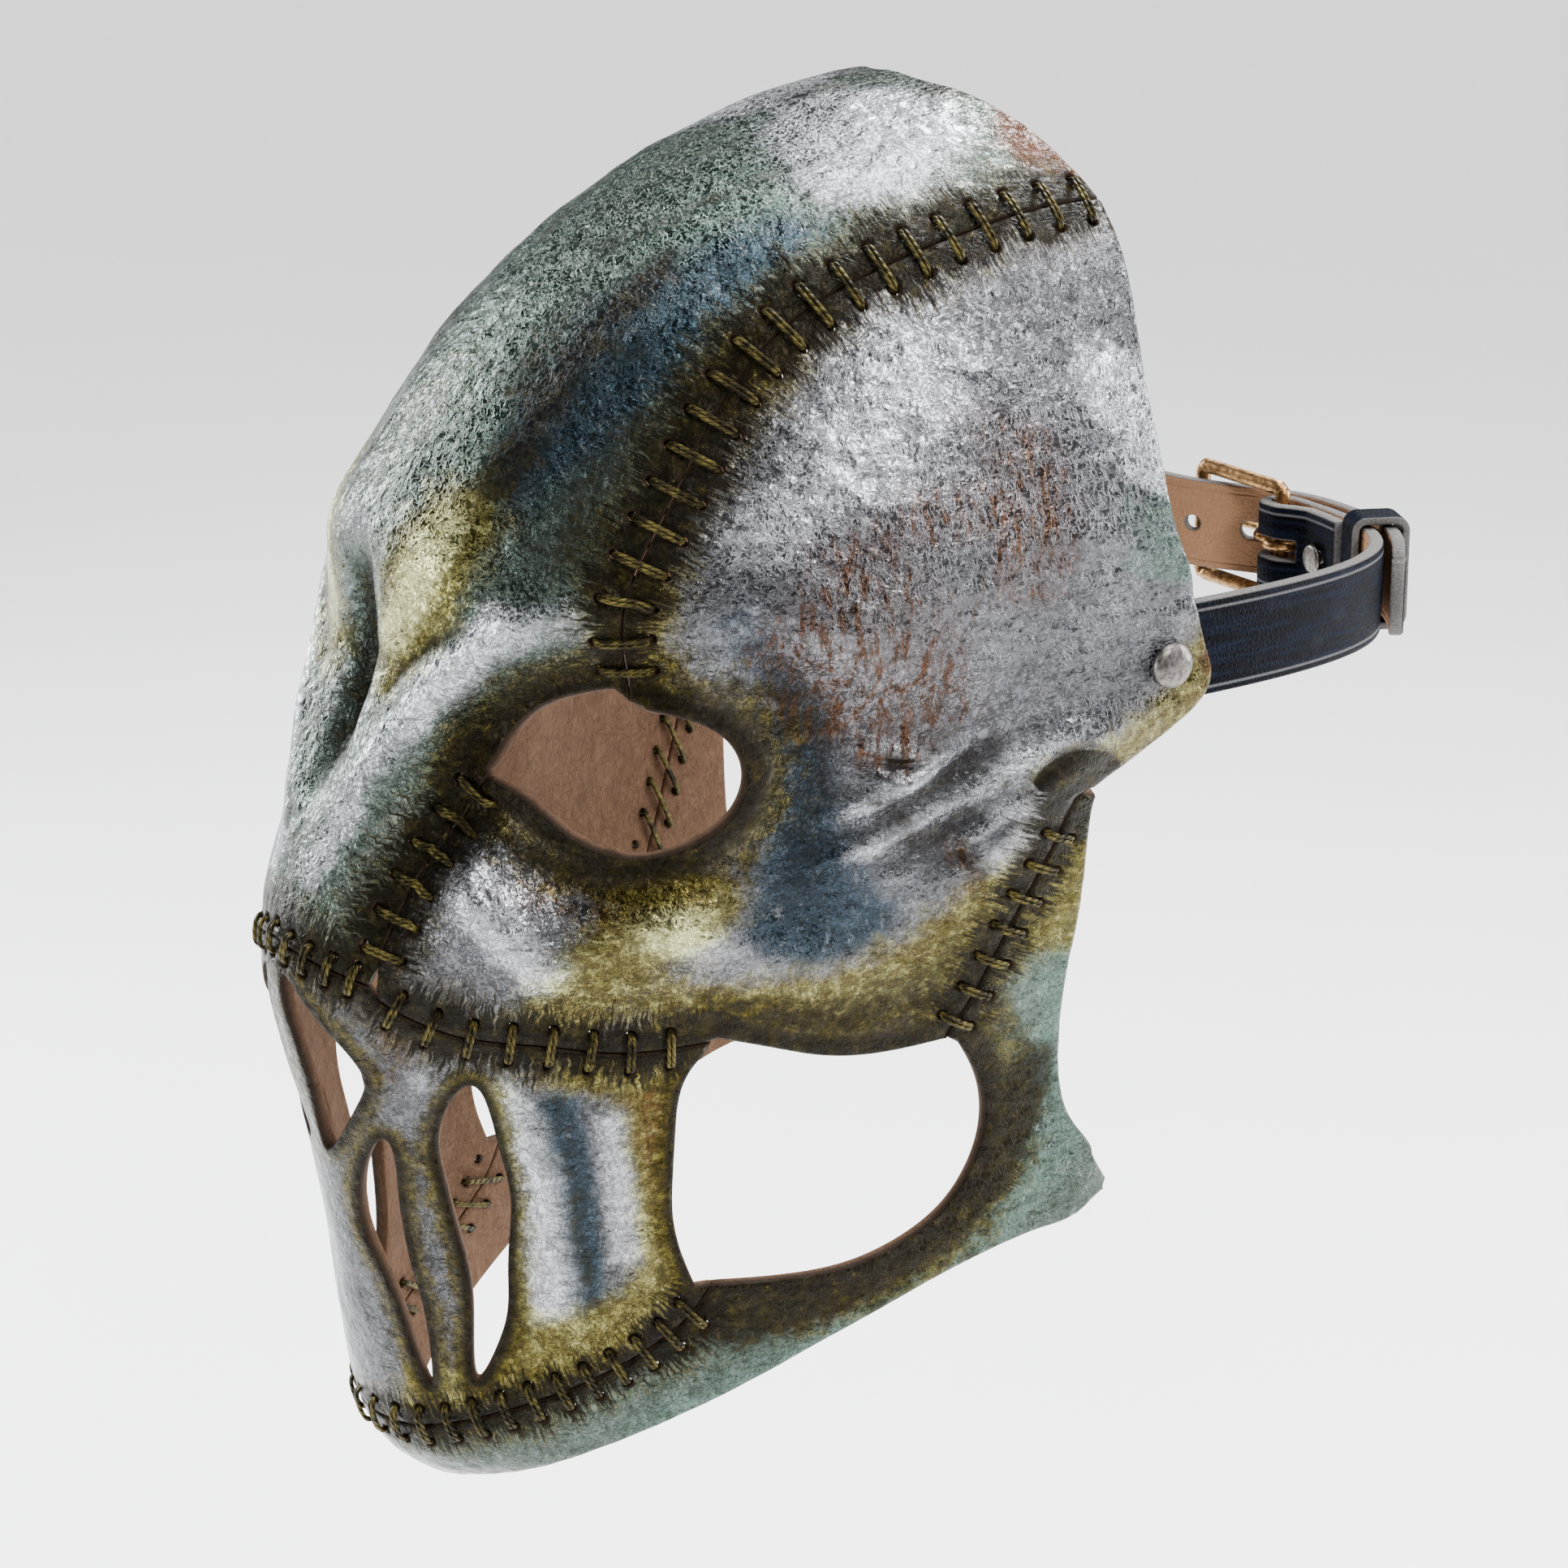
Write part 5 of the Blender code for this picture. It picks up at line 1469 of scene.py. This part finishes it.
bent = [HEEL + level * x + out * y for x, y in bent]
prong = tubes("buckle_prong_wire", [bent], PRONG_RADIUS, step=0.4, sides=16, shader=brass)
for piece, node, body in ((buckle, "buckle_frame", "buckle"), (prong, "buckle_prong", "prong")):
    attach(piece, body)
    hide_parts(node)


def keeper_band(shader):
    """A band of leather round the strap and its tail, with softened edges."""
    middle = ellipse(KEEPER_AT, TAIL_LIFT / 2)
    out = ellipse(KEEPER_AT, 1) - ellipse(KEEPER_AT, 0)
    along = np.cross((0, 0, 1), out)
    thick, high = (TAIL_LIFT + STRAP_SKIN) / 2 + 0.8, STRAP_WIDTH / 2 + 1.0
    width, wall, corner = 8.0, 1.6, 1.5
    outline = rounded_rectangle(thick, high, corner, np.arange(0, 91, 15))
    count = len(outline)
    rows = np.linspace(-width / 2, width / 2, 7)
    points = [middle + out * x + np.array([0, 0, z]) + along * side for side in rows for x, z in outline]
    faces = [(row * count + k, row * count + (k + 1) % count, (row + 1) * count + (k + 1) % count,
              (row + 1) * count + k) for row in range(len(rows) - 1) for k in range(count)]
    band = mesh_piece("keeper_band", points, faces, shader)
    store(band, "strap_along", np.repeat(rows, count))
    store(band, "strap_across", np.tile([z * 0.7 for _, z in outline], len(rows)))
    store(band, "cut", np.repeat(width / 2 - np.abs(rows), count))
    store(band, "inner_face", np.zeros(len(points)))
    skin = band.modifiers.new("thickness", "SOLIDIFY")
    skin.thickness = wall * METRES
    skin.offset = -1
    soft = band.modifiers.new("soft_edges", "BEVEL")
    soft.width = 0.35 * METRES
    soft.segments = 3
    return band


band = keeper_band(black)
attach(band, "keeper")
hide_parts("keeper_loop")
print("strap", round(distances(left)[-1]), "and", round(distances(right)[-1]), "mm")

# %% [markdown]
# ## Floor and light
#
# Metallic paint shows mostly what it reflects.  A dim world leaves the hollows dark, and a few soft
# boxes give the long highlights: two behind the mask for its rim and crown, one far to its right for
# the nose and brow, a small key by the camera and a low one in front for the teeth.  A broad soft sun
# lights the pale floor.

# %% Floor and light
FLOOR_DROP = 0.30


def make_floor():
    mesh = bpy.data.meshes.new("floor")
    size, height = 6.0, cad_low.z - FLOOR_DROP
    corners = [(x * size, y * size, height) for x, y in ((-1, -1), (1, -1), (1, 1), (-1, 1))]
    mesh.from_pydata(corners, [], [(0, 1, 2, 3)])
    shader, tree = node_material("floor_paper")
    tint = blend(grain(place_of(tree), 0.01), (0.90, 0.90, 0.90), (0.94, 0.94, 0.94))
    mesh.materials.append(finished(shader, tint, 0.0, 0.9, grain(place_of(tree), 0.5), 0.02))
    floor = bpy.data.objects.new("floor", mesh)
    bpy.context.scene.collection.objects.link(floor)


def soft_box(name, place, aim, size, watts, colour=(1, 1, 1)):
    data = bpy.data.lights.new(name, "AREA")
    data.shape = "RECTANGLE"
    data.size, data.size_y = size
    data.energy = watts
    data.color = colour
    light = bpy.data.objects.new(name, data)
    light.location = place
    light.rotation_mode = "QUATERNION"
    light.rotation_quaternion = (Vector(aim) - Vector(place)).to_track_quat("-Z", "Y")
    bpy.context.scene.collection.objects.link(light)


make_floor()
FACE = (0.03, -0.07, -0.03)
soft_box("back_right", (0.45, 1.15, 0.25), FACE, (0.40, 0.9), 36)
soft_box("back_top", (-0.50, 0.75, 0.95), FACE, (0.45, 0.45), 42)
soft_box("far_left", (-1.25, -0.55, 0.35), FACE, (0.40, 0.9), 44, (0.95, 0.98, 1.0))
soft_box("key", (0.95, 0.05, 0.70), FACE, (0.26, 0.26), 14, (1.0, 0.99, 0.97))
soft_box("low_front", (0.10, -1.20, 0.05), FACE, (0.25, 0.7), 10, (0.95, 0.98, 1.0))
sun = bpy.data.objects.new("ceiling", bpy.data.lights.new("ceiling", "SUN"))
sun.data.energy = 5.4
sun.data.angle = math.radians(50)
sun.rotation_euler = (math.radians(-12), math.radians(12), 0)
bpy.context.scene.collection.objects.link(sun)
world = bpy.data.worlds.new("studio")
world.use_nodes = True
world.node_tree.nodes["Background"].inputs["Color"].default_value = (0.93, 0.96, 1.0, 1)
world.node_tree.nodes["Background"].inputs["Strength"].default_value = 0.08
bpy.context.scene.world = world
print(len(bpy.data.lights), "lights")
